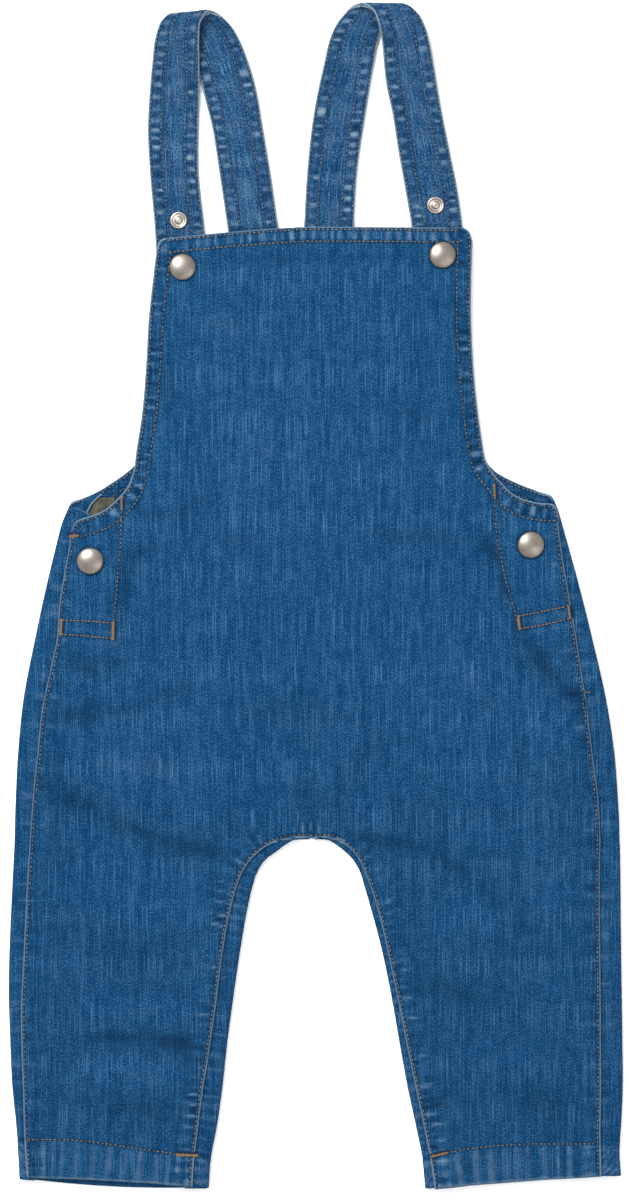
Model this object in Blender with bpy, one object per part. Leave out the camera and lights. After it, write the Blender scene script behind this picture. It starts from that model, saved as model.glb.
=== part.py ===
"""Kids' denim dungarees, laid flat on their back with both straps looped over the top.

Built as the garment is cut: a front with bib and legs, a wider back that wraps round the sides
and the inner legs, two doubled straps, an underlap at each side opening, and the snap parts.
Tables and sizes are in millimetres; +Y runs from the hems to the straps and +Z is up. The origin
is on the table under the middle of the garment. Left and right are as seen from above.
"""

import math
from collections import namedtuple

import bpy
import numpy as np

MM = 0.001

CLOTH = 1.2  # wall of the front, the back and the underlaps
STRAP = 2.4  # wall of a strap, which is cloth folded double
SEAM = 0.3  # gap between pieces that are sewn or lie together
FOLD = 2.4  # outer radius of the back's folds
TUCK = 4.0  # how far the back runs in under the front's edge
CENTRE = -1.0  # x of the centre line

FOLD_TOP = 2 * FOLD  # top of the back where it has folded over
EDGE_RISE = FOLD_TOP - CLOTH  # how much the folded back lifts the front's edge

BIB_ON_STRAPS = 150.0  # above this y the bib lies on the straps
BIB_ON_BACK = 120.0  # below this y it lies on the back
ARMHOLE_END = 66.0  # the front's edge starts to lift here
OPENING_TOP = 46.0  # and has lifted fully here, at the side opening
OPENING_FOOT = -40.0  # below this y the front is level only beside its seam
OPENING_FLAT = 20.0  # width that stays level beside a side opening
SEAM_FLAT = 6.0  # width that stays level beside a seam
SIDE_SLOPE = 24.0  # width over which the front sinks beside a side seam
INSEAM_SLOPE = 14.0  # and beside an inseam

# Sections across the body, from the bib's top edge to the crotch: their y at each edge.
Body = namedtuple("Body", "left centre right")
BODY = [
    Body(178.5, 185.0, 184.0),
    Body(176.0, 182.5, 181.5),
    Body(171.0, 176.5, 175.5),
    Body(160.0, 163.0, 162.5),
    Body(146.0, 147.0, 146.5),
    Body(130.0, 130.0, 130.0),
    Body(110.0, 110.0, 110.0),
    Body(90.0, 90.0, 90.0),
    Body(74.0, 75.0, 76.0),
    Body(64.0, 66.0, 68.0),
    Body(57.0, 60.0, 62.5),
    Body(51.5, 55.0, 57.0),
    Body(47.5, 51.0, 53.0),
    Body(44.5, 48.0, 50.5),
    Body(41.5, 45.5, 48.0),
    Body(39.0, 43.5, 46.5),
    Body(35.0, 39.0, 42.0),
    Body(28.0, 31.0, 34.0),
    Body(16.0, 18.0, 20.0),
    Body(2.0, 3.0, 4.0),
    Body(-14.0, -14.0, -14.0),
    Body(-30.0, -30.0, -30.0),
    Body(-50.0, -50.0, -50.0),
    Body(-70.0, -72.0, -70.0),
    Body(-90.0, -97.0, -90.0),
    Body(-102.0, -111.0, -102.0),
    Body(-110.0, -120.0, -110.0),
]
BACK_TOP = [Body(148.5, 148.5, 148.5), Body(140.0, 140.0, 140.0)]
BACK_STARTS = 5  # the back takes the body's sections from this one on

# The front's side edge: bib, armhole, side opening and side seam.
Edge = namedtuple("Edge", "y x")
FRONT_EDGE = {
    "left": [
        Edge(178.5, -76.0),
        Edge(176.0, -79.0),
        Edge(160.0, -81.0),
        Edge(146.0, -83.0),
        Edge(110.0, -85.0),
        Edge(90.0, -87.0),
        Edge(64.0, -91.0),
        Edge(57.0, -93.0),
        Edge(51.5, -98.0),
        Edge(44.5, -103.5),
        Edge(41.5, -110.0),
        Edge(39.0, -118.5),
        Edge(35.0, -121.5),
        Edge(12.0, -125.5),
        Edge(-30.0, -130.5),
        Edge(-50.0, -135.5),
        Edge(-90.0, -139.5),
        Edge(-130.0, -143.0),
        Edge(-180.0, -146.0),
        Edge(-200.0, -147.0),
        Edge(-248.0, -146.0),
        Edge(-291.5, -144.0),
    ],
    "right": [
        Edge(184.0, 74.5),
        Edge(181.5, 77.5),
        Edge(176.0, 78.0),
        Edge(128.0, 78.0),
        Edge(98.0, 81.0),
        Edge(78.0, 83.5),
        Edge(68.0, 85.5),
        Edge(57.0, 93.0),
        Edge(50.5, 100.0),
        Edge(48.0, 109.0),
        Edge(46.5, 117.0),
        Edge(42.0, 120.5),
        Edge(22.0, 123.0),
        Edge(-4.0, 127.5),
        Edge(-36.0, 132.5),
        Edge(-70.0, 137.0),
        Edge(-90.0, 140.0),
        Edge(-112.0, 142.0),
        Edge(-200.0, 142.5),
        Edge(-289.0, 142.5),
    ],
}

# The back's side: its armhole edge down to the side opening, then the line it folds round.
BACK_SIDE = {
    "left": [
        Edge(148.5, -45.0),
        Edge(130.0, -50.0),
        Edge(110.0, -60.0),
        Edge(90.0, -72.0),
        Edge(74.0, -84.0),
        Edge(63.5, -93.0),
        Edge(51.5, -111.0),
        Edge(47.5, -122.0),
        Edge(38.5, -126.5),
        Edge(8.5, -134.0),
        Edge(-21.5, -140.5),
        Edge(-50.0, -146.0),
        Edge(-80.0, -149.0),
        Edge(-120.0, -150.5),
        Edge(-160.0, -152.5),
        Edge(-185.0, -153.5),
        Edge(-250.0, -151.5),
        Edge(-270.0, -149.0),
        Edge(-291.5, -148.0),
    ],
    "right": [
        Edge(148.5, 23.0),
        Edge(130.0, 36.0),
        Edge(110.0, 52.0),
        Edge(90.0, 68.0),
        Edge(76.0, 80.0),
        Edge(62.5, 90.5),
        Edge(54.5, 107.0),
        Edge(51.0, 118.0),
        Edge(38.5, 123.0),
        Edge(8.5, 131.0),
        Edge(-21.5, 138.5),
        Edge(-50.0, 145.0),
        Edge(-80.0, 149.8),
        Edge(-130.0, 152.5),
        Edge(-180.0, 153.0),
        Edge(-250.0, 154.0),
        Edge(-272.0, 151.5),
        Edge(-289.0, 152.7),
    ],
}

# How the back's edge starts to fold over below its armhole: cloth past the fold line and angle.
Turn = namedtuple("Turn", "below wrap curl")
ARMHOLE_TURN = [
    Turn(-6.0, 3.0, 0.0),
    Turn(0.0, 3.0, 35.0),
    Turn(3.0, 6.0, 130.0),
    Turn(6.0, 9.0, 180.0),
]
TURN_STARTS = {"left": 47.5, "right": 50.5}

# Sections across each leg, from the crotch to the hem: y at the side, the front's inseam edge,
# and the line that the back folds round, with the cloth past it and the angle it has folded.
Leg = namedtuple("Leg", "side x y fold_x fold_y wrap curl")
LEGS = {
    "left": [
        Leg(-116.0, -8.0, -120.0, -8.0, -121.5, 1.5, 12.0),
        Leg(-121.0, -15.0, -121.0, -13.0, -123.5, 3.0, 60.0),
        Leg(-126.0, -21.5, -123.0, -19.0, -127.0, 5.5, 130.0),
        Leg(-132.0, -27.0, -126.0, -25.0, -131.5, 11.0, 180.0),
        Leg(-139.0, -32.0, -130.5, -29.0, -137.5, 15.0, 180.0),
        Leg(-148.0, -37.0, -138.0, -31.5, -145.0, 18.0, 180.0),
        Leg(-160.0, -41.5, -152.0, -34.0, -156.0, 18.0, 180.0),
        Leg(-178.0, -46.0, -174.0, -37.5, -176.0, 17.5, 180.0),
        Leg(-200.0, -49.5, -200.0, -41.0, -200.0, 17.5, 180.0),
        Leg(-222.0, -52.5, -222.0, -44.0, -222.0, 17.5, 180.0),
        Leg(-244.0, -56.0, -245.0, -46.5, -245.0, 18.5, 180.0),
        Leg(-264.0, -59.0, -266.0, -49.5, -266.0, 18.5, 180.0),
        Leg(-279.0, -60.5, -282.0, -52.5, -282.0, 17.0, 180.0),
        Leg(-291.5, -61.5, -296.0, -53.5, -296.4, 17.0, 180.0),
    ],
    "right": [
        Leg(-116.0, 4.5, -120.0, 4.0, -121.5, 1.5, 12.0),
        Leg(-121.0, 9.5, -121.0, 8.5, -123.5, 3.0, 60.0),
        Leg(-126.0, 15.0, -123.5, 14.3, -127.0, 5.5, 130.0),
        Leg(-132.0, 19.3, -127.0, 18.8, -131.5, 10.0, 180.0),
        Leg(-139.0, 23.0, -133.0, 22.2, -137.5, 12.0, 180.0),
        Leg(-148.0, 26.5, -142.5, 24.0, -145.0, 12.5, 180.0),
        Leg(-160.0, 31.0, -156.0, 27.5, -157.0, 12.5, 180.0),
        Leg(-178.0, 36.0, -176.0, 33.0, -176.0, 12.0, 180.0),
        Leg(-200.0, 41.0, -200.0, 38.0, -200.0, 12.0, 180.0),
        Leg(-222.0, 45.5, -223.0, 42.0, -223.0, 12.5, 180.0),
        Leg(-244.0, 50.5, -245.0, 46.0, -245.0, 13.5, 180.0),
        Leg(-264.0, 55.0, -266.0, 50.5, -266.0, 13.5, 180.0),
        Leg(-278.0, 57.5, -281.0, 53.5, -281.0, 13.0, 180.0),
        Leg(-289.0, 59.5, -295.4, 55.0, -295.4, 13.0, 180.0),
    ],
}

# The straps, from the end under the bib, up, over the loop and down to the back's top edge:
# the edge that faces the neck, the outer edge, and the height of the band's middle.
Band = namedtuple("Band", "inner_x inner_y outer_x outer_y height")
STRAPS = {
    "left": [
        Band(-54.0, 153.0, -79.0, 153.0, 1.2),
        Band(-55.5, 184.0, -80.5, 184.0, 1.2),
        Band(-58.5, 213.0, -83.0, 213.0, 1.2),
        Band(-58.5, 234.0, -84.0, 234.0, 1.3),
        Band(-58.0, 253.0, -83.0, 253.0, 2.8),
        Band(-58.0, 268.0, -81.5, 268.0, 5.2),
        Band(-58.0, 279.0, -80.0, 279.0, 7.4),
        Band(-57.0, 287.3, -77.0, 286.9, 8.8),
        Band(-54.5, 291.0, -74.5, 289.2, 8.0),
        Band(-52.0, 292.3, -72.0, 290.5, 5.6),
        Band(-48.0, 291.2, -70.5, 288.8, 2.8),
        Band(-43.0, 287.0, -67.0, 283.0, 1.5),
        Band(-38.0, 279.0, -63.0, 274.0, 1.2),
        Band(-34.0, 269.0, -59.5, 265.0, 1.2),
        Band(-29.5, 252.0, -55.0, 248.0, 1.2),
        Band(-27.0, 236.0, -52.0, 236.0, 1.2),
        Band(-22.5, 211.0, -48.0, 211.0, 1.2),
        Band(-18.5, 184.0, -44.0, 184.0, 1.2),
        Band(-14.0, 148.8, -39.0, 148.8, 1.2),
    ],
    "right": [
        Band(51.0, 158.0, 75.5, 158.0, 1.2),
        Band(48.0, 186.0, 73.5, 187.5, 1.2),
        Band(45.0, 203.5, 71.0, 203.5, 1.2),
        Band(41.0, 223.5, 67.0, 223.5, 1.2),
        Band(38.0, 243.5, 63.0, 243.5, 1.5),
        Band(36.0, 255.0, 61.0, 255.5, 2.6),
        Band(35.0, 265.0, 59.0, 267.0, 4.4),
        Band(34.0, 274.0, 57.0, 277.0, 6.4),
        Band(33.0, 281.0, 55.0, 284.0, 8.0),
        Band(31.5, 286.4, 52.5, 289.2, 9.0),
        Band(29.0, 292.0, 49.0, 293.0, 8.6),
        Band(25.5, 295.0, 45.5, 295.0, 7.0),
        Band(22.0, 295.9, 42.0, 295.4, 5.0),
        Band(18.0, 295.1, 39.0, 294.1, 3.0),
        Band(14.0, 291.4, 36.0, 290.9, 1.7),
        Band(10.5, 286.5, 33.5, 285.5, 1.3),
        Band(7.5, 279.0, 31.5, 277.5, 1.2),
        Band(5.0, 268.5, 29.5, 267.0, 1.2),
        Band(-0.5, 243.5, 25.5, 243.5, 1.2),
        Band(-4.0, 213.5, 21.5, 213.5, 1.2),
        Band(-5.5, 186.0, 19.5, 186.0, 1.2),
        Band(-8.0, 148.8, 17.0, 148.8, 1.2),
    ],
}
BAND_STEPS = 2  # faces between two of the sections above
BAND_COLUMNS = 3

# The strips under the side openings: outer and inner edge, and the outer edge's height.
Strip = namedtuple("Strip", "y outer inner rise")
UNDERLAPS = {
    "left": [
        Strip(52.0, -108.5, -99.5, 0.0),
        Strip(47.0, -110.5, -99.5, 0.2),
        Strip(42.5, -113.0, -99.5, 0.9),
        Strip(38.0, -115.5, -99.5, 1.8),
        Strip(33.0, -117.0, -99.5, 2.1),
        Strip(12.0, -121.0, -100.0, 2.1),
        Strip(-6.0, -123.0, -100.5, 2.1),
        Strip(-23.0, -125.0, -101.0, 2.1),
    ],
    "right": [
        Strip(55.5, 103.5, 99.0, 0.0),
        Strip(52.5, 108.5, 96.5, 0.2),
        Strip(48.5, 112.5, 95.0, 0.9),
        Strip(44.0, 115.0, 95.5, 1.8),
        Strip(38.0, 116.5, 96.0, 2.1),
        Strip(12.0, 120.0, 99.0, 2.1),
        Strip(-6.0, 123.0, 101.0, 2.1),
        Strip(-23.0, 126.0, 103.0, 2.1),
    ],
}
STRIP_COLUMNS = 4

# Snap caps and studs: the middle of each and the height of the cloth under it.
Snap = namedtuple("Snap", "x y cloth")
BIB_TOP = STRAP + SEAM + CLOTH
SIDE_TOP = FOLD_TOP + SEAM + CLOTH
CAPS = {
    "cap_bib_left": Snap(-66.5, 165.0, BIB_TOP),
    "cap_bib_right": Snap(63.5, 171.0, BIB_TOP),
    "cap_side_left": Snap(-112.5, 18.0, SIDE_TOP),
    "cap_side_right": Snap(107.5, 26.0, SIDE_TOP),
}
STUDS = {
    "stud_left": Snap(-68.5, 188.5, STRAP),
    "stud_right": Snap(60.0, 196.0, STRAP),
}
SNAP_SIDES = 16

# Profiles of a cap and a stud, from the foot's rim to the middle of the top.
Ring = namedtuple("Ring", "radius height")
CAP = [
    Ring(6.2, 0.0),
    Ring(6.75, 0.5),
    Ring(6.6, 1.2),
    Ring(5.4, 2.2),
    Ring(3.2, 2.8),
]
CAP_TOP = 3.0
STUD = [
    Ring(3.9, 0.0),
    Ring(4.3, 0.5),
    Ring(3.7, 1.1),
    Ring(2.9, 0.6),
    Ring(1.9, 0.6),
    Ring(1.7, 2.0),
    Ring(1.2, 2.4),
]
STUD_TOP = 2.5

# Columns of the front's points: their distances from the side edge and from the inner edge.
FROM_SIDE = np.array([0.0, 7.0, 15.0, 23.0, 33.0])
FROM_INNER = np.array([0.0, 7.0, 14.0, 21.0])
FLAT_COLUMNS = 3
ARC_COLUMNS = 4

DENIM = ("denim", (0.020, 0.100, 0.240), 0.9, 0.0)
STRAP_DENIM = ("strap_denim", (0.034, 0.105, 0.223), 0.9, 0.0)
FACING = ("cotton_twill", (0.190, 0.200, 0.150), 0.9, 0.0)
NICKEL = ("brushed_nickel", (0.560, 0.560, 0.540), 0.35, 1.0)
PEARL = ("pearl_white_metal", (0.760, 0.760, 0.740), 0.30, 0.4)


def clear_scene():
    for obj in list(bpy.data.objects):
        bpy.data.objects.remove(obj, do_unlink=True)


def material(finish):
    """The Principled material of a finish, made once."""
    name, colour, roughness, metallic = finish
    if name in bpy.data.materials:
        return bpy.data.materials[name]
    made = bpy.data.materials.new(name)
    made.use_nodes = True
    shader = made.node_tree.nodes["Principled BSDF"]
    shader.inputs["Base Color"].default_value = (*colour, 1.0)
    shader.inputs["Roughness"].default_value = roughness
    shader.inputs["Metallic"].default_value = metallic
    return made


def ease(t):
    """Runs smoothly from 0 to 1 as t does."""
    t = np.clip(t, 0.0, 1.0)
    return t * t * (3.0 - 2.0 * t)


def edge_x(table, y):
    """x of an edge at height y, straight between the table's rows."""
    rows = sorted(table)
    return float(np.interp(y, [row.y for row in rows], [row.x for row in rows]))


def add_mesh(name, points, faces, finish):
    """A mesh object from points in millimetres."""
    mesh = bpy.data.meshes.new(name)
    mesh.from_pydata((np.asarray(points) * MM).tolist(), [], faces)
    mesh.materials.append(material(finish))
    mesh.validate()
    obj = bpy.data.objects.new(name, mesh)
    bpy.context.scene.collection.objects.link(obj)
    return obj


def thicken(obj, wall, offset, even=False):
    """Gives a sheet its wall: offset -1 grows it inwards from the outer face, 0 both ways. An
    even wall keeps its thickness round tight folds."""
    solidify = obj.modifiers.new("wall", "SOLIDIFY")
    solidify.thickness = wall * MM
    solidify.offset = offset
    solidify.use_even_offset = even


def grid_faces(index, flip):
    """Quads over a grid of point numbers."""
    a, b = index[:-1, :-1], index[:-1, 1:]
    c, d = index[1:, 1:], index[1:, :-1]
    quads = np.stack([a, d, c, b] if flip else [a, b, c, d], axis=-1)
    return quads.reshape(-1, 4).tolist()


def add_panel(name, left, right, joined, faces_up):
    """A panel of two half grids that share their first column down to row joined, the crotch."""
    shape = left.shape[:2]
    count = shape[0] * shape[1]
    left_index = np.arange(count).reshape(shape)
    right_index = np.full(shape, -1)
    own = np.ones(shape, bool)
    own[: joined + 1, 0] = False
    right_index[own] = count + np.arange(own.sum())
    right_index[: joined + 1, 0] = left_index[: joined + 1, 0]
    points = np.concatenate([left.reshape(-1, 3), right[own]])
    faces = grid_faces(left_index, not faces_up) + grid_faces(right_index, faces_up)
    obj = add_mesh(name, points, faces, DENIM)
    thicken(obj, CLOTH, -1.0, even=not faces_up)


def front_height(y, from_side, from_inseam, folded):
    """Top of the front at height y and the given distances from its edges: it lies on what is
    under it, and rises over the back's folded edges."""
    on_straps = ease((y - BIB_ON_BACK) / (BIB_ON_STRAPS - BIB_ON_BACK))
    under = CLOTH + on_straps * (STRAP - CLOTH) + SEAM
    side_rise = EDGE_RISE * ease((ARMHOLE_END - y) / (ARMHOLE_END - OPENING_TOP))
    beside_opening = ease((ARMHOLE_END - y) / 10.0) * ease((y - OPENING_FOOT) / 15.0)
    level = SEAM_FLAT + (OPENING_FLAT - SEAM_FLAT) * beside_opening
    side = side_rise * (1.0 - ease((from_side - level) / SIDE_SLOPE))
    inseam = EDGE_RISE * folded * (1.0 - ease((from_inseam - SEAM_FLAT) / INSEAM_SLOPE))
    return under + CLOTH + side + inseam


def front_columns(width):
    """Where the front's columns lie across a half of this width, from 0 inside to 1 outside."""
    return np.concatenate([FROM_INNER, width - FROM_SIDE[::-1]]) / width


def front_half(side):
    """Half of the front: rows of points from the centre line or inseam out to the side."""
    rows = []
    for body in BODY:
        y_side = getattr(body, side)
        x_side = edge_x(FRONT_EDGE[side], y_side)
        across = front_columns(abs(x_side - CENTRE))
        x = CENTRE + (x_side - CENTRE) * across
        y = body.centre + (y_side - body.centre) * across**2
        z = front_height(y, np.abs(x_side - x), np.inf, 0.0)
        rows.append(np.stack([x, y, z], axis=-1))
    for leg in LEGS[side]:
        x_side = edge_x(FRONT_EDGE[side], leg.side)
        across = front_columns(abs(x_side - leg.x))
        x = leg.x + (x_side - leg.x) * across
        y = leg.y + (leg.side - leg.y) * across
        folded = ease(leg.curl / 150.0)
        z = front_height(y, np.abs(x_side - x), np.abs(x - leg.x), folded)
        rows.append(np.stack([x, y, z], axis=-1))
    return np.array(rows)


def fold_over(x, y, outward, wrap, curl):
    """Points of cloth that runs outward from a line through x, y and folds up and over it:
    along an arc of the fold's radius until it has turned by curl degrees, then straight."""
    angle = math.radians(curl)
    arc_part = min(FOLD * angle, wrap * ARC_COLUMNS / (ARC_COLUMNS + 1)) if angle else wrap / 2
    run = np.append(np.linspace(0.0, arc_part, ARC_COLUMNS + 1), wrap)
    turned = np.minimum(run / FOLD, angle)
    straight = np.maximum(run - FOLD * angle, 0.0)
    along = FOLD * np.sin(turned) + straight * math.cos(angle)
    up = FOLD * (1.0 - np.cos(turned)) + straight * math.sin(angle)
    return np.stack([x + outward[0] * along, y + outward[1] * along, up], axis=-1)


def side_fold(side, y):
    """The back's side at height y: flat armhole edge, then the fold round the side seam."""
    sign = -1.0 if side == "left" else 1.0
    x_side = edge_x(BACK_SIDE[side], y)
    below = TURN_STARTS[side] - y
    last = ARMHOLE_TURN[-1]
    if below >= last.below:
        reach = abs(x_side) - FOLD - abs(edge_x(FRONT_EDGE[side], y)) + TUCK
        full = math.pi * FOLD + max(reach, 0.0)
        wrap = last.wrap + (full - last.wrap) * float(ease((below - last.below) / 4.0))
        curl = last.curl
    else:
        steps = [turn.below for turn in ARMHOLE_TURN]
        wrap = float(np.interp(below, steps, [turn.wrap for turn in ARMHOLE_TURN]))
        curl = float(np.interp(below, steps, [turn.curl for turn in ARMHOLE_TURN]))
    inset = FOLD * math.sin(min(math.radians(curl), math.pi / 2)) if curl else wrap
    inset = max(inset, wrap * (1.0 - curl / 90.0)) if curl < 90.0 else inset
    return fold_over(x_side - sign * inset, y, (sign, 0.0), wrap, curl)


def back_half(side):
    """Half of the back: rows from the centre line, or from the inseam's folded edge, out to the
    folded edge at the side."""
    rows = []
    for body in BACK_TOP + BODY[BACK_STARTS:]:
        outer = side_fold(side, getattr(body, side))
        sign = -1.0 if side == "left" else 1.0
        inner = fold_over(CENTRE + sign * 1.5, body.centre, (-sign, 0.0), 1.5, 0.0)[::-1]
        rows.append(back_row(inner, outer))
    folds = [np.array([CENTRE, BODY[-1].centre - 1.5])]
    folds += [np.array([leg.fold_x, leg.fold_y]) for leg in LEGS[side]]
    for number, leg in enumerate(LEGS[side], start=1):
        ahead = folds[min(number + 1, len(folds) - 1)] - folds[number - 1]
        ahead /= np.linalg.norm(ahead)
        outward = np.array([-ahead[1], ahead[0]]) * (1.0 if side == "left" else -1.0)
        inset = FOLD * math.sin(min(math.radians(leg.curl), math.pi / 2))
        start = folds[number] - outward * inset
        inner = fold_over(start[0], start[1], outward, leg.wrap, leg.curl)[::-1]
        rows.append(back_row(inner, side_fold(side, leg.side)))
    return np.array(rows)


def back_row(inner, outer):
    """One row of the back: the inner fold, the flat between the two fold lines, the outer."""
    between = np.linspace(0.0, 1.0, FLAT_COLUMNS + 1)[1:-1, None]
    flat = inner[-1] + (outer[0] - inner[-1]) * between
    return np.concatenate([inner, flat, outer])


def smooth_rows(table, steps):
    """Rows of a table with a cubic through them, steps to each stretch."""
    rows = np.array(table, float)
    ends = np.concatenate([2 * rows[:1] - rows[1:2], rows, 2 * rows[-1:] - rows[-2:-1]])
    t = np.linspace(0.0, 1.0, steps, endpoint=False)[:, None]
    p0, p1, p2, p3 = (ends[i : len(ends) - 3 + i, None] for i in range(4))
    cubic = p1 + 0.5 * t * (p2 - p0 + t * (2 * p0 - 5 * p1 + 4 * p2 - p3 + t * (3 * (p1 - p2) + p3 - p0)))
    return np.concatenate([cubic.reshape(-1, rows.shape[1]), rows[-1:]])


def add_strap(name, table):
    """A doubled band between its two edges, half of its wall on each side of its middle."""
    rows = smooth_rows(table, BAND_STEPS)
    across = np.linspace(0.0, 1.0, BAND_COLUMNS + 1)[None, :, None]
    inner = np.stack([rows[:, 0], rows[:, 1], rows[:, 4]], axis=-1)[:, None]
    outer = np.stack([rows[:, 2], rows[:, 3], rows[:, 4]], axis=-1)[:, None]
    points = inner + (outer - inner) * across
    index = np.arange(points.shape[0] * points.shape[1]).reshape(points.shape[:2])
    obj = add_mesh(name, points.reshape(-1, 3), grid_faces(index, name.endswith("left")), STRAP_DENIM)
    thicken(obj, STRAP, 0.0)


def add_underlap(name, table):
    """The strip that the front closes over: its outer edge meets the back's folded edge."""
    rows = np.array(table, float)
    across = np.linspace(0.0, 1.0, STRIP_COLUMNS + 1)[None, :]
    x = rows[:, 1:2] + (rows[:, 2:3] - rows[:, 1:2]) * across
    y = np.repeat(rows[:, :1], STRIP_COLUMNS + 1, axis=1)
    z = 2 * CLOTH + SEAM + rows[:, 3:4] * (1.0 - ease(across))
    points = np.stack([x, y, z], axis=-1)
    index = np.arange(x.size).reshape(x.shape)
    obj = add_mesh(name, points.reshape(-1, 3), grid_faces(index, name.endswith("left")), FACING)
    thicken(obj, CLOTH, -1.0)


def add_turned(name, profile, top, snap, finish):
    """A round piece turned about an upright axis, standing just clear of the cloth."""
    angles = np.arange(SNAP_SIDES) * 2 * math.pi / SNAP_SIDES
    circle = np.stack([np.cos(angles), np.sin(angles), np.zeros(SNAP_SIDES)], axis=-1)
    foot = np.array([snap.x, snap.y, snap.cloth + SEAM])
    rings = [foot + circle * ring.radius + (0.0, 0.0, ring.height) for ring in profile]
    points = np.concatenate(rings + [foot[None], (foot + (0.0, 0.0, top))[None]])
    around = np.arange(SNAP_SIDES)
    following = np.roll(around, -1)
    faces = []
    for number in range(len(profile) - 1):
        low, high = number * SNAP_SIDES, (number + 1) * SNAP_SIDES
        quads = np.stack([low + around, low + following, high + following, high + around], axis=-1)
        faces += quads.tolist()
    last, bottom, peak = (len(profile) - 1) * SNAP_SIDES, len(points) - 2, len(points) - 1
    faces += [(int(b), int(a), bottom) for a, b in zip(around, following)]
    faces += [(last + int(a), last + int(b), peak) for a, b in zip(around, following)]
    obj = add_mesh(name, points, faces, finish)
    obj.data.shade_smooth()
    obj.data.set_sharp_from_angle(angle=math.radians(35.0))


def main():
    clear_scene()
    crotch = len(BODY) - 1
    add_panel("front_panel", front_half("left"), front_half("right"), crotch, faces_up=True)
    crotch += len(BACK_TOP) - BACK_STARTS
    add_panel("back_panel", back_half("left"), back_half("right"), crotch, faces_up=False)
    for side in ("left", "right"):
        add_strap("strap_" + side, STRAPS[side])
        add_underlap("underlap_" + side, UNDERLAPS[side])
    for name, snap in CAPS.items():
        add_turned(name, CAP, CAP_TOP, snap, NICKEL)
    for name, snap in STUDS.items():
        add_turned(name, STUD, STUD_TOP, snap, PEARL)


main()
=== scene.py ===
"""Looks of a small child's denim dungarees, laid flat on their back with the straps looped over.

Lengths in the tables are in millimetres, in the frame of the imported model: +Y from the hems to the
straps, +Z up from the surface that the garment lies on. Left and right are as seen from above.
"""
import math

import bpy
import numpy as np
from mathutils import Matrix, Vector


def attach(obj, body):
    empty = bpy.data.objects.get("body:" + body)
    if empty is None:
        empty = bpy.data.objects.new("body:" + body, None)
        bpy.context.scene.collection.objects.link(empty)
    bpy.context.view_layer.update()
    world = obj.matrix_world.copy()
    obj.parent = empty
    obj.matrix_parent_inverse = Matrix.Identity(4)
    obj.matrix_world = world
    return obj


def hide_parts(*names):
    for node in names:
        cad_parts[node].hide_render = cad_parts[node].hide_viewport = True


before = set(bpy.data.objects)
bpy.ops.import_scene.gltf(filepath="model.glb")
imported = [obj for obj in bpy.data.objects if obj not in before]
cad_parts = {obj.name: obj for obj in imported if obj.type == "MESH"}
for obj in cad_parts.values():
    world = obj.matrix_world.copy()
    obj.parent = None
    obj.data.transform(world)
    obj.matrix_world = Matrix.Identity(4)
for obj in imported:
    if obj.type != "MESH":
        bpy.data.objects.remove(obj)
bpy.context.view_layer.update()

# ---------------------------------------------------------------------------------------------
# Table, camera and lights. The garment lies on a plain white table, between a soft lamp past the
# left strap and a wide, weak one opposite, and is seen from straight above.
# ---------------------------------------------------------------------------------------------
MM = 0.001
VIEW_LENGTH = 600.0  # what the camera sees from top to bottom
VIEW_CENTRE = (-0.5, -1.5)
CAMERA_LENS = 100.0
SENSOR = 36.0
CLOTH_LEVEL = 4.0  # height at which the view's length is measured
TABLE_WHITE = 0.92
TABLE_REACH = 3.0  # metres from its middle to its edges
SKY = 1.14  # strength of the white light from all round
LAMPS = [
    # name, place in metres, width in metres, power in watts
    ("soft_lamp", (-0.60, 0.80, 1.30), 0.7, 34.0),
    ("fill_lamp", (0.7, -0.6, 1.5), 1.2, 7.0),
]

camera_data = bpy.data.cameras.new("camera")
camera_data.lens = CAMERA_LENS
camera_data.sensor_width = SENSOR
camera = bpy.data.objects.new("camera", camera_data)
camera_height = VIEW_LENGTH * CAMERA_LENS / SENSOR + CLOTH_LEVEL
camera.location = (VIEW_CENTRE[0] * MM, VIEW_CENTRE[1] * MM, camera_height * MM)
bpy.context.scene.collection.objects.link(camera)
bpy.context.scene.camera = camera
bpy.context.scene.view_settings.view_transform = "Standard"

world = bpy.data.worlds.new("studio")
world.use_nodes = True
world.node_tree.nodes["Background"].inputs["Color"].default_value = (1.0, 1.0, 1.0, 1.0)
world.node_tree.nodes["Background"].inputs["Strength"].default_value = SKY
bpy.context.scene.world = world

for name, place, width, power in LAMPS:
    light = bpy.data.lights.new(name, "AREA")
    light.size = width
    light.energy = power
    lamp = bpy.data.objects.new(name, light)
    lamp.location = place
    lamp.rotation_euler = (-Vector(place)).to_track_quat("-Z", "Y").to_euler()
    bpy.context.scene.collection.objects.link(lamp)


class Socket:
    """An output of a shader node. Arithmetic on it adds Math nodes, clamp() keeps it to 0-1."""

    def __init__(self, finish, output):
        self.finish = finish
        self.output = output

    def _math(self, operation, *values):
        node = self.finish.add("ShaderNodeMath", dict(enumerate(values)), operation=operation)
        return Socket(self.finish, node.outputs[0])

    def __add__(self, other):
        return self._math("ADD", self, other)

    def __radd__(self, other):
        return self._math("ADD", other, self)

    def __sub__(self, other):
        return self._math("SUBTRACT", self, other)

    def __rsub__(self, other):
        return self._math("SUBTRACT", other, self)

    def __mul__(self, other):
        return self._math("MULTIPLY", self, other)

    def __rmul__(self, other):
        return self._math("MULTIPLY", other, self)

    def clamp(self):
        return self._math("MINIMUM", self._math("MAXIMUM", self, 0.0), 1.0)


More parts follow.
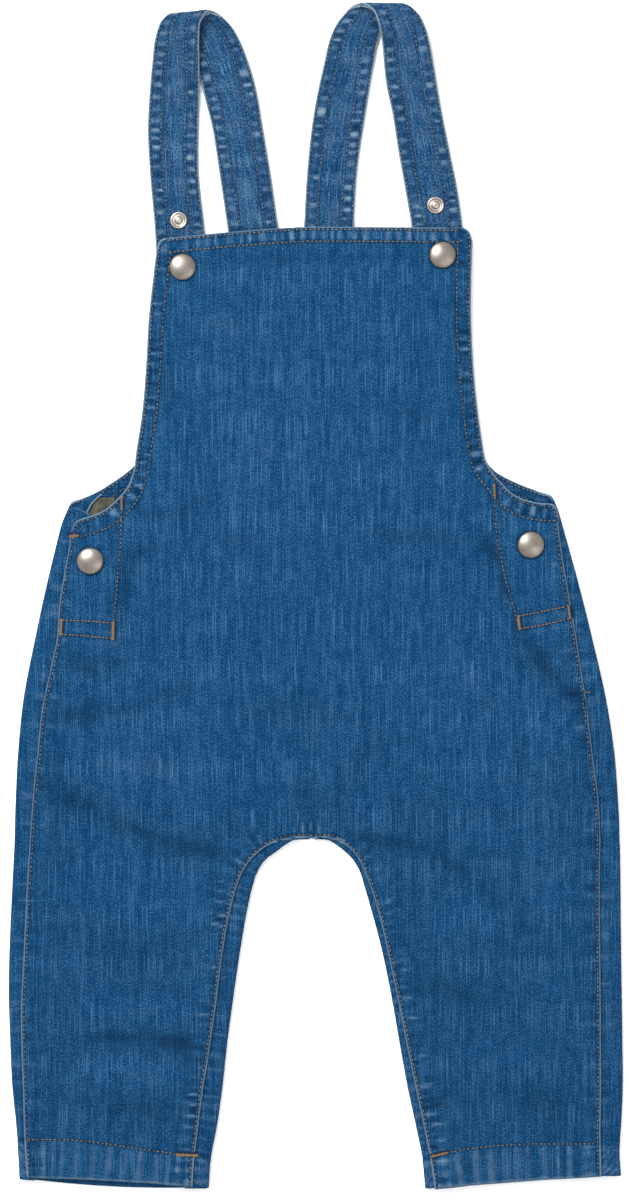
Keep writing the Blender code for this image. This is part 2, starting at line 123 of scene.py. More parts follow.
class Finish:
    """A material under construction: its one Principled shader, and nodes added to it."""

    def __init__(self, name):
        self.material = bpy.data.materials.new(name)
        self.material.use_nodes = True
        self.tree = self.material.node_tree
        self.shader = self.tree.nodes["Principled BSDF"]

    def add(self, kind, inputs=None, **settings):
        """A node with its settings made first, then its sockets given values or links."""
        node = self.tree.nodes.new(kind)
        stops = settings.pop("stops", None)
        for name, value in settings.items():
            setattr(node, name, value)
        if stops:
            while len(node.color_ramp.elements) < len(stops):
                node.color_ramp.elements.new(1.0)
            for element, (place, colour) in zip(node.color_ramp.elements, stops):
                element.position = place
                element.color = (*colour, 1.0)
        for name, value in (inputs or {}).items():
            self.feed(node.inputs[name], value)
        return node

    def feed(self, target, value):
        """Links a socket to a value that varies, or sets it to one that doesn't."""
        if isinstance(value, Socket):
            self.tree.links.new(value.output, target)
        else:
            target.default_value = value

    def read(self, node, name):
        return Socket(self, node.outputs[name])

    def noise(self, where, scale, detail=2.0, roughness=0.5):
        """Noise from 0 to 1 on coordinates stretched by a scale for each axis."""
        mapped = self.add("ShaderNodeMapping", {"Vector": where, "Scale": scale})
        values = {"Vector": self.read(mapped, "Vector"), "Scale": 1.0, "Detail": detail}
        values["Roughness"] = roughness
        return self.read(self.add("ShaderNodeTexNoise", values), "Fac")

    def mix(self, amount, first, second):
        """A colour between two, by an amount from 0 to 1."""
        node = self.add("ShaderNodeMix", {0: amount, 6: first, 7: second}, data_type="RGBA")
        return Socket(self, node.outputs[2])

    def bump(self, height, distance, strength=1.0):
        values = {"Height": height, "Distance": distance, "Strength": strength}
        return self.read(self.add("ShaderNodeBump", values), "Normal")

    def finish(self, **sockets):
        """Feeds the Principled shader and gives back the material."""
        for name, value in sockets.items():
            self.feed(self.shader.inputs[name.replace("_", " ")], value)
        return self.material


def linear(red, green, blue):
    """A display colour, 0 to 255, as the shader's linear colour."""
    shares = np.array([red, green, blue]) / 255.0
    low = shares <= 0.04045
    return tuple(np.where(low, shares / 12.92, ((shares + 0.055) / 1.055) ** 2.4).tolist())


table = Finish("table_white")
grain_of_table = table.add("ShaderNodeTexCoord")
paper = table.noise(table.read(grain_of_table, "Object"), (300.0, 300.0, 300.0))
table_shade = table.mix(paper, (TABLE_WHITE,) * 3 + (1.0,), (0.98 * TABLE_WHITE,) * 3 + (1.0,))
table_top = bpy.data.meshes.new("table_top")
corners = [(x * TABLE_REACH, y * TABLE_REACH, 0) for x, y in ((-1, -1), (1, -1), (1, 1), (-1, 1))]
table_top.from_pydata(corners, [], [(0, 1, 2, 3)])
table_top.materials.append(table.finish(Base_Color=table_shade, Roughness=0.9))
floor = bpy.data.objects.new("table_top", table_top)
bpy.context.scene.collection.objects.link(floor)

# ---------------------------------------------------------------------------------------------
# Front: bib, hips and the fronts of both legs, cut in one from washed blue denim. Its bib and
# armhole edges are faced and stitched twice, the side openings have a stitched placket, and
# the hems are turned up and stitched once.
# ---------------------------------------------------------------------------------------------
SIDES = {"left": -1.0, "right": 1.0}  # which way along X each half runs
CLOTH = 1.2  # wall of the cloth
STRAP = 2.4  # wall of a strap
SEAM = 0.3  # clearance between pieces
FOLD = 2.4  # outer radius of the back's folds
EDGE_RISE = 2 * FOLD - CLOTH  # how far the back's folded edge lifts the front's
SLACK = 0.7  # how far the front stands off what it lies on, so that its creases have depth
CENTRE = -1.0  # x of the line where the halves meet
FRONT_STEP = 1.7  # between its rows of points
FRONT_COLUMNS = 76
CROWDING = 0.45  # how much closer the columns stand at the edges

# Sections of each half: the side edge and the centre line or inseam, from the bib to the hem.
FRONT = {
    "left": [
        # side_x, side_y, inner_x, inner_y
        (-75.5, 179.2, -1.0, 185.0),
        (-77.8, 178.0, -1.0, 183.6),
        (-78.9, 175.4, -1.0, 181.0),
        (-80.0, 169.0, -1.0, 174.0),
        (-81.3, 158.5, -1.0, 161.0),
        (-83.3, 140.0, -1.0, 141.0),
        (-84.8, 115.0, -1.0, 115.0),
        (-87.0, 90.0, -1.0, 90.0),
        (-89.5, 74.0, -1.0, 75.0),
        (-91.3, 62.0, -1.0, 66.0),
        (-94.3, 54.5, -1.0, 60.0),
        (-98.5, 49.5, -1.0, 55.5),
        (-104.0, 44.3, -1.0, 51.5),
        (-110.5, 41.0, -1.0, 48.5),
        (-117.0, 39.0, -1.0, 46.0),
        (-119.8, 37.6, -1.0, 43.5),
        (-121.3, 34.8, -1.0, 40.5),
        (-122.8, 26.0, -1.0, 32.0),
        (-125.3, 12.0, -1.0, 16.0),
        (-127.8, -3.0, -1.0, -2.0),
        (-129.3, -22.0, -1.0, -22.0),
        (-132.5, -37.0, -1.0, -38.0),
        (-136.3, -55.0, -1.0, -57.0),
        (-138.8, -78.0, -1.0, -83.0),
        (-140.8, -97.0, -1.0, -105.0),
        (-141.6, -107.0, -1.0, -117.5),
        (-142.0, -112.0, -1.0, -120.0),
        (-142.3, -117.0, -8.0, -120.2),
        (-142.7, -122.0, -15.5, -121.0),
        (-143.0, -128.0, -22.5, -123.3),
        (-143.4, -134.0, -28.5, -127.3),
        (-143.8, -141.0, -33.5, -132.6),
        (-144.4, -150.0, -38.0, -140.6),
        (-145.0, -162.0, -42.0, -154.0),
        (-145.9, -182.0, -46.5, -178.0),
        (-147.0, -203.0, -49.7, -203.0),
        (-146.8, -226.0, -53.0, -226.0),
        (-146.0, -248.0, -56.5, -248.0),
        (-145.4, -270.0, -59.6, -272.0),
        (-144.6, -282.0, -61.0, -285.0),
        (-144.0, -289.7, -61.4, -294.4),
    ],
    "right": [
        (73.5, 184.5, -1.0, 185.0),
        (76.6, 183.2, -1.0, 183.6),
        (78.0, 179.6, -1.0, 181.0),
        (78.2, 172.0, -1.0, 174.0),
        (77.9, 160.0, -1.0, 161.0),
        (77.8, 141.0, -1.0, 141.0),
        (79.0, 115.0, -1.0, 115.0),
        (81.3, 92.0, -1.0, 90.0),
        (83.3, 78.0, -1.0, 75.0),
        (85.3, 68.0, -1.0, 66.0),
        (88.8, 62.0, -1.0, 60.0),
        (93.0, 57.0, -1.0, 55.5),
        (98.5, 51.5, -1.0, 51.5),
        (105.5, 48.2, -1.0, 48.5),
        (113.0, 46.8, -1.0, 46.0),
        (118.6, 46.4, -1.0, 43.5),
        (120.3, 43.8, -1.0, 40.5),
        (121.4, 34.0, -1.0, 32.0),
        (123.8, 17.0, -1.0, 16.0),
        (127.0, -2.0, -1.0, -2.0),
        (130.5, -22.0, -1.0, -22.0),
        (132.7, -37.0, -1.0, -38.0),
        (135.5, -55.0, -1.0, -57.0),
        (138.2, -78.0, -1.0, -83.0),
        (140.8, -97.0, -1.0, -105.0),
        (141.6, -107.0, -1.0, -117.5),
        (141.9, -112.0, -1.0, -120.0),
        (142.1, -117.0, 4.5, -120.2),
        (142.2, -122.0, 10.0, -121.0),
        (142.1, -128.0, 15.0, -123.8),
        (142.0, -134.0, 19.3, -127.8),
        (141.9, -141.0, 23.3, -134.0),
        (141.9, -150.0, 27.0, -143.2),
        (142.0, -162.0, 31.2, -156.5),
        (142.2, -182.0, 36.6, -179.5),
        (142.4, -203.0, 41.6, -203.0),
        (142.5, -226.0, 46.2, -226.5),
        (142.5, -248.0, 51.0, -249.5),
        (142.3, -268.0, 55.6, -271.5),
        (142.4, -279.0, 57.9, -283.5),
        (142.7, -289.4, 59.5, -295.8),
    ],
}
SHARED_TO = -120.3  # the halves share the centre line down to the crotch, at this y


def smooth_rows(table, step, places=slice(None)):
    """Rows of a table joined by cubics, taken about every step. A stretch is as long as the
    points in its place columns move on average, and the slope at a row is that of its two
    stretches, the shorter one counting more."""
    rows = np.asarray(table, float)
    moves = np.diff(rows, axis=0)
    lengths = np.sqrt(2.0 * (moves[:, places] ** 2).mean(axis=1))
    slopes = moves / lengths[:, None]
    share = (lengths[1:] / (lengths[:-1] + lengths[1:]))[:, None]
    inner = slopes[:-1] * share + slopes[1:] * (1.0 - share)
    slopes_at = np.concatenate([slopes[:1], inner, slopes[-1:]])
    starts = np.concatenate([[0.0], np.cumsum(lengths)])
    stops = np.linspace(0.0, starts[-1], int(np.ceil(starts[-1] / step)) + 1)
    stretch = np.clip(np.searchsorted(starts, stops, side="right") - 1, 0, len(lengths) - 1)
    long = lengths[stretch][:, None]
    t = (stops - starts[stretch])[:, None] / long
    return (
        rows[stretch] * (1 - t) ** 2 * (1 + 2 * t)
        + slopes_at[stretch] * long * t * (1 - t) ** 2
        + rows[stretch + 1] * t**2 * (3 - 2 * t)
        - slopes_at[stretch + 1] * long * t**2 * (1 - t)
    )


def nearest(points, line):
    """How far points lie from a line of short straights, and how far along it that place is."""
    away = np.full(points.shape[:-1], np.inf)
    along = np.zeros(points.shape[:-1])
    start = 0.0
    for a, b in zip(line[:-1], line[1:]):
        run = b - a
        length = math.hypot(*run)
        part = np.clip(((points - a) @ run) / length**2, 0.0, 1.0)
        gap = np.linalg.norm(points - a - part[..., None] * run, axis=-1)
        closer = gap < away
        away = np.where(closer, gap, away)
        along = np.where(closer, start + part * length, along)
        start += length
    return away, along


def ease(t):
    """Runs smoothly from 0 to 1 as t does: three t squared less two t cubed."""
    t = np.clip(t, 0.0, 1.0)
    return t * t * (3.0 - 2.0 * t)


def bell(distance, width):
    """1 on a line, falling smoothly away from it to a third at the width."""
    return np.exp(-((distance / width) ** 2))


def wander(place, seed):
    """An uneven wave: a random height from -1 to 1 at each whole number, eased between them."""
    heights = np.random.default_rng(seed).uniform(-1.0, 1.0, 1024)
    whole = np.floor(place).astype(int)
    part = ease(place - whole)
    return heights[whole % 1024] * (1.0 - part) + heights[(whole + 1) % 1024] * part


def mottle(points, size, seed):
    """Uneven patches of about a size: random heights on a square lattice, eased between."""
    heights = np.random.default_rng(seed).uniform(-1.0, 1.0, (64, 64))
    cell = points / size + 100.0
    whole = np.floor(cell).astype(int)
    part = ease(cell - whole)
    x0, y0 = (whole % 64)[..., 0], (whole % 64)[..., 1]
    x1, y1 = (x0 + 1) % 64, (y0 + 1) % 64
    low = heights[x0, y0] * (1 - part[..., 0]) + heights[x1, y0] * part[..., 0]
    high = heights[x0, y1] * (1 - part[..., 0]) + heights[x1, y1] * part[..., 0]
    return low * (1 - part[..., 1]) + high * part[..., 1]


def pucker(along, pitch, seed):
    """Gathers along a row of stitches: a wave of about the pitch, uneven in place and size."""
    phase = 2 * math.pi * along / pitch + 2.6 * wander(along / (1.7 * pitch), seed)
    return np.sin(phase) * (0.60 + 0.40 * wander(along / (1.3 * pitch), seed + 1))


def half_grid(rows, columns, crowding):
    """Points x, y across a half, column 0 on its inner edge, closer together at both edges.
    Above the hips the rows bow: their rise goes as a power of the way out."""
    k = np.linspace(0.0, 1.0, columns + 1)
    across = (k - crowding * np.sin(2 * math.pi * k) / (2 * math.pi))[None, :]
    x = rows[:, 2:3] + (rows[:, 0:1] - rows[:, 2:3]) * across
    bow = 1.0 + 0.4 * ease((rows[:, 3:4] - 30.0) / 40.0)
    y = rows[:, 3:4] + (rows[:, 1:2] - rows[:, 3:4]) * across**bow
    return np.stack([x, y], axis=-1)


def inset(line, distance, turn):
    """A line moved sideways by a distance, to its left for turn 1 and to its right for -1."""
    ahead = np.gradient(line, axis=0)
    ahead /= np.linalg.norm(ahead, axis=1, keepdims=True)
    return line + np.column_stack([-ahead[:, 1], ahead[:, 0]]) * distance * turn


both = smooth_rows(np.concatenate([FRONT["left"], FRONT["right"]], axis=1), FRONT_STEP)
halves = {"left": both[:, :4], "right": both[:, 4:]}
front_xy = {side: half_grid(rows, FRONT_COLUMNS, CROWDING) for side, rows in halves.items()}
edges = {side: rows[:, :2] for side, rows in halves.items()}
below_crotch = np.cumsum(both[:, 3] <= SHARED_TO) > 0
inseams = {side: rows[below_crotch][:, 2:] for side, rows in halves.items()}
arch = np.concatenate([inseams["left"][::-1], inseams["right"]])
top_edge = np.concatenate([front_xy["left"][0, ::-1], front_xy["right"][0, 1:]])

# Where the hem's stitches run: x, y from the outside in.
HEM_ROWS = {
    "left": [(-160, -271.5), (-130, -271), (-108, -273), (-81, -277), (-58, -279), (-40, -280)],
    "right": [
        (35, -284), (54, -281), (64, -278), (80, -275.5), (104, -273.7), (127, -273.3), (160, -271.5),
    ],
}
# The inner line of each side opening's placket, and the two lines that close it at its foot.
PLACKET_LINE = {
    "left": [
        (-96.9, 43.0), (-97.2, 33.0), (-97.4, 24.0), (-98.4, 16.5), (-99.3, 4.0), (-100.4, -8.0),
        (-100.7, -20.0),
    ],
    "right": [
        (89.5, 48.5), (89.8, 38.5), (90.7, 30.0), (92.6, 20.0), (94.8, 9.5), (97.4, 0.5),
        (100.1, -9.5), (101.6, -15.8),
    ],
}
BOX_LINES = {
    "left": [
        [(-126.8, -11.5), (-114.0, -12.0), (-100.7, -13.0)],
        [(-127.3, -18.5), (-115.0, -19.4), (-101.0, -20.8)],
    ],
    "right": [
        [(101.0, -9.7), (114.0, -7.0), (126.2, -4.6)],
        [(101.6, -15.9), (114.0, -13.8), (127.4, -10.6)],
    ],
}
# How far in from the cloth's edge the rows of stitches run.
EDGE_ROW = 1.3  # the first row's dent, and its stitches along the bib's top
SIDE_ROW = 1.45  # its stitches down the armholes and the sides
FACING_ROW = 7.2  # the second row, which holds the facings
FACING_SPREAD = 1.4  # how much further in that row runs under the armhole
INSEAM_ROW = 1.3
# Where each armhole ends, and where each side opening is closed, y.
ARMHOLE_FOOT = {"left": 37.6, "right": 45.4}
OPENING_FOOT = {"left": -24.0, "right": -12.0}


def facing_width(y):
    """How far in from the edge the second row of stitches runs."""
    return FACING_ROW + FACING_SPREAD * ease((60.0 - y) / 14.0)


armholes = {side: line[line[:, 1] >= ARMHOLE_FOOT[side]] for side, line in edges.items()}
placket = {side: smooth_rows(line, 2.0) for side, line in PLACKET_LINE.items()}
boxes = {side: [smooth_rows(line, 3.0) for line in lines] for side, lines in BOX_LINES.items()}


def hem_line(points, side):
    """How far points lie below the hem's stitches."""
    line = np.array(HEM_ROWS[side], float)
    return np.interp(points[..., 0], line[:, 0], line[:, 1]) - points[..., 1]


# Creases and hollows pressed into the cloth: where each starts and ends, how wide it is and how
# deep, with a minus sign for a ridge, and how dark its painted shade is, with a minus sign for
# light painted on a ridge.
CREASES = [
    # x0, y0, x1, y1, width, depth, dark: its painted shade
    (-84.0, 24.5, -93.0, 19.0, 3.2, 0.5, 0.45),
    (-93.0, 19.0, -96.5, -12.0, 2.6, 0.6, 0.5),
    (82.0, 33.0, 92.0, 16.0, 3.0, 0.6, 0.5),
    (92.0, 16.0, 97.0, -4.0, 2.8, 0.6, 0.5),
    (98.0, -8.0, 106.0, -24.0, 3.6, 0.6, 0.45),
    (106.0, -24.0, 122.0, -44.0, 4.6, 0.9, 0.55),
    (122.0, -44.0, 140.0, -58.0, 5.5, 1.0, 0.55),
    (-88.0, 41.0, -62.0, 41.0, 3.6, 0.4, 0.3),
    (-60.0, 46.0, -52.0, 47.5, 3.0, 0.4, 0.25),
    (-46.0, 30.0, -34.0, 27.0, 3.6, 0.4, 0.25),
    (20.0, 33.0, 76.0, 27.0, 3.4, 0.4, 0.25),
    (-16.0, 17.0, -8.0, 14.0, 3.0, 0.3, 0.2),
    (-127.0, -59.0, -108.0, -59.0, 4.2, 0.8, 0.5),
    (-108.0, -59.0, -82.0, -55.0, 4.5, 0.5, 0.3),
    (-78.0, -50.0, -62.0, -44.0, 4.0, 0.6, 0.35),
    (-124.0, -28.0, -109.0, -40.0, 4.0, 0.7, 0.45),
    (-104.0, -30.0, -98.0, -36.0, 3.2, 0.5, 0.35),
    (-134.0, -96.0, -104.0, -110.0, 4.5, 0.8, 0.4),
    (-104.0, -110.0, -80.0, -121.0, 4.2, 0.9, 0.5),
    (-80.0, -121.0, -40.0, -131.0, 4.5, 0.9, 0.5),
    (-118.0, -221.0, -84.0, -221.0, 3.2, 0.7, 0.45),
    (-84.0, -221.0, -58.0, -226.0, 4.2, 1.0, 0.6),
    (-120.0, -255.0, -60.0, -258.0, 6.0, 0.5, 0.3),
    (-118.0, -170.0, -74.0, -184.0, 9.0, 0.5, 0.2),
    (0.0, -117.0, -3.0, -92.0, 2.6, 0.5, 0.3),
    (6.0, -116.0, 14.0, -92.0, 2.6, 0.5, 0.3),
    (14.0, -92.0, 36.0, -70.0, 4.5, 0.5, 0.25),
    (14.0, -118.0, 56.0, -128.0, 4.0, 0.8, 0.4),
    (56.0, -128.0, 84.0, -142.0, 5.0, 0.7, 0.35),
    (84.0, -142.0, 112.0, -172.0, 6.0, 0.5, 0.25),
    (46.0, -192.0, 90.0, -202.0, 7.0, 0.5, 0.25),
    (54.0, -252.0, 64.0, -254.0, 3.6, 0.7, 0.5),
    (96.0, -246.0, 132.0, -262.0, 7.0, 0.4, 0.25),
    (-40.0, -58.0, 20.0, -60.0, 9.0, 0.4, 0.15),
    (-78.0, 126.0, -70.0, 84.0, 5.0, 0.3, 0.25),
    (40.0, 96.0, 62.0, 84.0, 4.0, 0.3, 0.2),
    (-70.0, 168.0, 70.0, 171.0, 3.0, 0.1, 0.22),
    (-58.0, 142.0, -26.0, 128.0, 7.0, -0.4, -0.12),
    (-70.0, 70.0, 40.0, 66.0, 14.0, -0.3, -0.05),
    (-120.0, -80.0, -60.0, -90.0, 9.0, -0.6, -0.14),
    (-122.0, -140.0, -60.0, -160.0, 10.0, -0.5, -0.10),
    (-118.0, -205.0, -64.0, -208.0, 7.0, -0.5, -0.14),
    (-118.0, -238.0, -66.0, -242.0, 6.0, -0.5, -0.14),
    (60.0, -168.0, 120.0, -150.0, 10.0, -0.4, -0.10),
    (66.0, -226.0, 120.0, -236.0, 9.0, -0.4, -0.10),
    (64.0, -30.0, 94.0, -62.0, 8.0, -0.5, -0.12),
]


def creased(points, creases):
    """Height and painted shade of the creases at points: each is a bell across its line, tapering
    to nothing at its ends, with its width a little uneven along it."""
    depth = np.zeros(points.shape[:-1])
    dark = np.zeros(points.shape[:-1])
    # Its last column, tone here, is the painted shade of each crease; below 0 it is painted light.
    for number, (x0, y0, x1, y1, width, deep, tone) in enumerate(creases):
        away, along = nearest(points, np.array([(x0, y0), (x1, y1)]))
        length = math.hypot(x1 - x0, y1 - y0)
        uneven = 1.0 + 0.3 * wander(along / 9.0, 100 + number)
        taper = 0.35 * length
        ends = 0.35 + 0.65 * ease(along / taper) * ease((length - along) / taper)
        shape = bell(away, width * uneven) * ends
        depth += deep * shape
        dark += tone * shape
    return depth, dark


def band(away, first, last):
    """1 between two distances from an edge, easing to 0 just past them."""
    return ease((away - first + 0.8) / 0.8) * ease((last + 0.8 - away) / 0.8)


# The snap caps press into the front: x, y and the height of the cloth that each sits on.
CAPS = {
    "cap_bib_left": (-66.5, 165.0, 4.2),
    "cap_bib_right": (63.5, 171.0, 4.2),
    "cap_side_left": (-112.5, 18.0, 6.6),
    "cap_side_right": (107.5, 26.0, 6.6),
}
CAP_RADIUS = 6.75


def on_half(x, sign):
    """Which places are on a half, counting 1 mm past x of 0."""
    return x * sign > -1.0


def armhole_marks(points, side, number, patchy):
    """Rise, and wear with painted shade, of an armhole's facing, which is thicker, dented at the row
    that holds it, with painted shade along that row, and gathered between its two rows. It also
    gives where the facing is."""
    away, along = nearest(points, armholes[side])
    width = facing_width(points[..., 1])
    faced = ease((width + 0.8 - away) / 0.8)
    gather = pucker(along, 5.4, 10 + number)
    between = band(away, EDGE_ROW, FACING_ROW) * faced
    row = bell(away - width, 0.6)
    rise = 0.26 * gather * between + 0.32 * faced - 0.18 * row
    return rise, between * (1.25 * gather * patchy - 0.16) - 0.60 * row, faced


def side_marks(away, along, number, seamed, opening, patchy):
    """Rise, and wear with painted shade, beside a side edge: gathers along its seam, looser ones along
    its opening, the dent of its row of stitches with painted shade along it, and a pale rubbed edge."""
    slow = pucker(along, 10.5, 20 + number)
    quick = pucker(along, 4.4, 25 + number)
    beside = ease(away / 2.5) * ease((12.0 - away) / 8.0) * seamed
    rise = (0.34 * slow + 0.12 * quick) * beside
    wear = ((0.45 * slow + 0.35 * quick) * patchy - 0.06) * beside
    loose = pucker(along, 6.0, 30 + number)
    beside = ease(away / 2.5) * ease((8.0 - away) / 5.0) * opening
    rise += 0.2 * loose * beside
    wear += 0.22 * loose * beside
    row = bell(away - EDGE_ROW, 0.55)
    return rise - 0.18 * row, wear + ease((1.0 - away) / 0.6) - 0.60 * row


def placket_marks(points, side, number, opening, faced):
    """Rise, and wear with painted shade, of an opening's placket: thicker out from its inner row of
    stitches, with a dent and painted shade at that row and at the two that close its foot."""
    x, y = points[..., 0], points[..., 1]
    own = on_half(x, SIDES[side])
    away, along = nearest(points, placket[side])
    inner_line = np.interp(y, placket[side][::-1, 1], placket[side][::-1, 0])
    outside = ease((x - inner_line) * SIDES[side]) * own
    thicker = outside * opening * ease((y - OPENING_FOOT[side] - 4.0) / 3.0) * (1.0 - faced)
    row = bell(away, 0.7) * opening
    beside = bell(away - 3.0, 2.6) * opening
    rise = 0.30 * thicker - 0.24 * row
    wear = 0.16 * beside * pucker(along, 6.0, 40 + number) - 0.45 * row
    for line in boxes[side]:
        row = bell(nearest(points, line)[0], 0.6)
        rise -= 0.22 * row
        wear -= 0.40 * row
    foot_away = nearest(points, boxes[side][1])[0]
    return rise, wear + 0.12 * bell(foot_away - 3.0, 1.6) * own


def hem_marks(points, side, number, patchy):
    """Rise, and wear with painted shade, of a turned-up hem: thicker, ribbed by its stitching, with
    painted shade along its row, and pale at its fold.
    """
    own = on_half(points[..., 0], SIDES[side])
    below = hem_line(points, side)
    along = nearest(points, np.array(HEM_ROWS[side], float))[1]
    rib = pucker(along, 7.0, 70 + number)
    turned = ease((below + 0.8) / 1.2) * own
    rise = turned * (0.45 + 0.22 * rib) - 0.24 * bell(below, 0.7) * own
    wear = turned * (0.15 + 0.48 * rib * patchy) - 0.42 * bell(below, 0.8) * own
    wear += 0.16 * bell(below + 5.0, 4.0) * own * pucker(along, 7.5, 74 + number)
    fold = np.array([halves[side][-1, :2], halves[side][-1, 2:]])
    return rise, wear + 0.8 * ease((0.8 - nearest(points, fold)[0]) / 0.7)


def top_marks(points, patchy):
    """Rise, and wear with painted shade, of the bib's faced top edge: dented at its two rows of
    stitches, with painted shade along them, gathered between them and pale along its fold."""
    away, along = nearest(points, top_edge)
    gather = pucker(along, 5.2, 50)
    between = band(away, EDGE_ROW, FACING_ROW)
    rows = bell(away - EDGE_ROW, 0.55) + bell(away - FACING_ROW, 0.6)
    rise = 0.2 * gather * between + 0.3 * ease(FACING_ROW + 0.6 - away) - 0.18 * rows
    wear = between * (0.12 + 0.90 * gather * patchy) - 0.60 * rows
    return rise, wear + ease((1.0 - away) / 0.7)


def inseam_marks(away, along, patchy):
    """Rise, and wear with painted shade, beside the inner legs' edge: gathers, the dent of its row
    with painted shade along it, a pale edge.
    """
    gather = pucker(along, 5.0, 60)
    beside = ease(away / 2.0) * ease((14.0 - away) / 9.0)
    row = bell(away - INSEAM_ROW, 0.6)
    wear = 0.85 * gather * patchy * beside - 0.60 * row
    return 0.30 * gather * beside - 0.16 * row, wear + ease((1.0 - away) / 0.6)


def cap_marks(points, place):
    """Rise, and a ring of painted shadow, round a snap cap, which presses the cloth down under its rim.
    """
    past = np.linalg.norm(points - place, axis=-1) - CAP_RADIUS
    return -0.25 * ease((2.5 - past) / 2.5), -0.55 * ease((1.1 - past) / 1.2)


def lifted(y, side_away, inseam_away):
    """How far the back's folded edges lift the front: fully near its sides and inner legs, and
    easing away from there, further in where the side openings are."""
    side_level = 6.0 + 14.0 * ease((66.0 - y) / 10.0) * ease((y + 40.0) / 15.0)
    at_sides = ease((66.0 - y) / 20.0) * (1.0 - ease((side_away - side_level) / 24.0))
    at_legs = ease((SHARED_TO + 0.5 - y) / 3.0) * (1.0 - ease((inseam_away - 6.0) / 14.0))
    return (EDGE_RISE - SLACK) * (at_sides + at_legs)


def front_surface(points):
    """Height of the front's top face at points x, y, and its tone, from -1, deep, to 1, pale:
    worn dye, with painted shade in its creases, along its rows of stitches and round its snap
    caps, and painted light on its ridges. It lies on the straps or the back, rises over the
    back's folded edges, is ridged and gathered beside its stitching, and has its creases."""
    y = points[..., 1]
    patchy = 0.6 + 0.55 * mottle(points, 2.8, 6)
    marks = [top_marks(points, patchy)]
    side_away = np.full(y.shape, np.inf)
    for number, side in enumerate(SIDES):
        away, along = nearest(points, edges[side])
        side_away = np.minimum(side_away, away)
        seamed = ease((OPENING_FOOT[side] - y) / 6.0)
        opening = (1.0 - seamed) * ease((ARMHOLE_FOOT[side] + 3.0 - y) / 4.0)
        *facing, faced = armhole_marks(points, side, number, patchy)
        marks.append(facing)
        marks.append(side_marks(away, along, number, seamed, opening, patchy))
        marks.append(placket_marks(points, side, number, opening, faced))
        marks.append(hem_marks(points, side, number, patchy))
    away, along = nearest(points, arch)
    inseam_away = np.where(y < SHARED_TO + 14.0, away, np.inf)
    marks.append(inseam_marks(inseam_away, along, patchy))
    marks += [cap_marks(points, place[:2]) for place in CAPS.values()]
    rise, wear = (sum(part) for part in zip(*marks))
    # The creases' painted shade darkens the tone, and the painted light on their ridges makes it paler.
    depth, dark = creased(points, CREASES)
    free = ease(side_away / 8.0)
    under = CLOTH + ease((y - 120.0) / 30.0) * (STRAP - CLOTH) + SEAM
    height = under + CLOTH + SLACK + lifted(y, side_away, inseam_away)
    height += (0.25 * mottle(points, 34.0, 4) + 0.10 * mottle(points, 13.0, 5)) * free
    wear += 0.04 * (mottle(points, 9.0, 1) + mottle(points, 4.0, 2)) + 0.03 * mottle(points, 30.0, 3)
    wear -= 0.05 + 0.07 * ease((-20.0 - y) / 90.0)
    return height + rise - depth * (0.4 + 0.6 * free), np.clip(wear - dark, -1.0, 1.0)


def quads_of(index, turned):
    """Faces over a grid of point numbers, turned to face the other way where asked."""
    a, b = index[:-1, :-1], index[:-1, 1:]
    c, d = index[1:, 1:], index[1:, :-1]
    order = [a, d, c, b] if turned else [a, b, c, d]
    return np.stack(order, axis=-1).reshape(-1, 4)


def new_piece(name, points, faces, facts, material, wall=0.0):
    """A piece from points in millimetres, with facts stored at its points, its material, a wall
    grown inwards from its face where it is one sheet, and the body that it rides on."""
    mesh = bpy.data.meshes.new(name)
    mesh.from_pydata((points * MM).tolist(), [], faces)
    mesh.validate()
    mesh.shade_smooth()
    mesh.materials.append(material)
    for fact, values in facts.items():
        kind, field = ("FLOAT_VECTOR", "vector") if values.ndim == 2 else ("FLOAT", "value")
        stored = mesh.attributes.new(fact, kind, "POINT")
        stored.data.foreach_set(field, values.astype(np.float32).ravel())
    piece = bpy.data.objects.new(name, mesh)
    bpy.context.scene.collection.objects.link(piece)
    if wall:
        thickness = piece.modifiers.new("wall", "SOLIDIFY")
        thickness.thickness = wall * MM
        thickness.offset = -1.0
        thickness.use_quality_normals = True
    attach(piece, "root")
    return piece


def joined_halves(left, right, shared):
    """Point numbers of two half grids that share their first column in the shared rows, and
    which points of the right half are its own."""
    count = left.shape[0] * left.shape[1]
    left_index = np.arange(count).reshape(left.shape[:2])
    own = np.ones(right.shape[:2], bool)
    own[shared, 0] = False
    right_index = np.zeros(right.shape[:2], int)
    right_index[own] = count + np.arange(own.sum())
    right_index[shared, 0] = left_index[shared, 0]
    return left_index, right_index, own


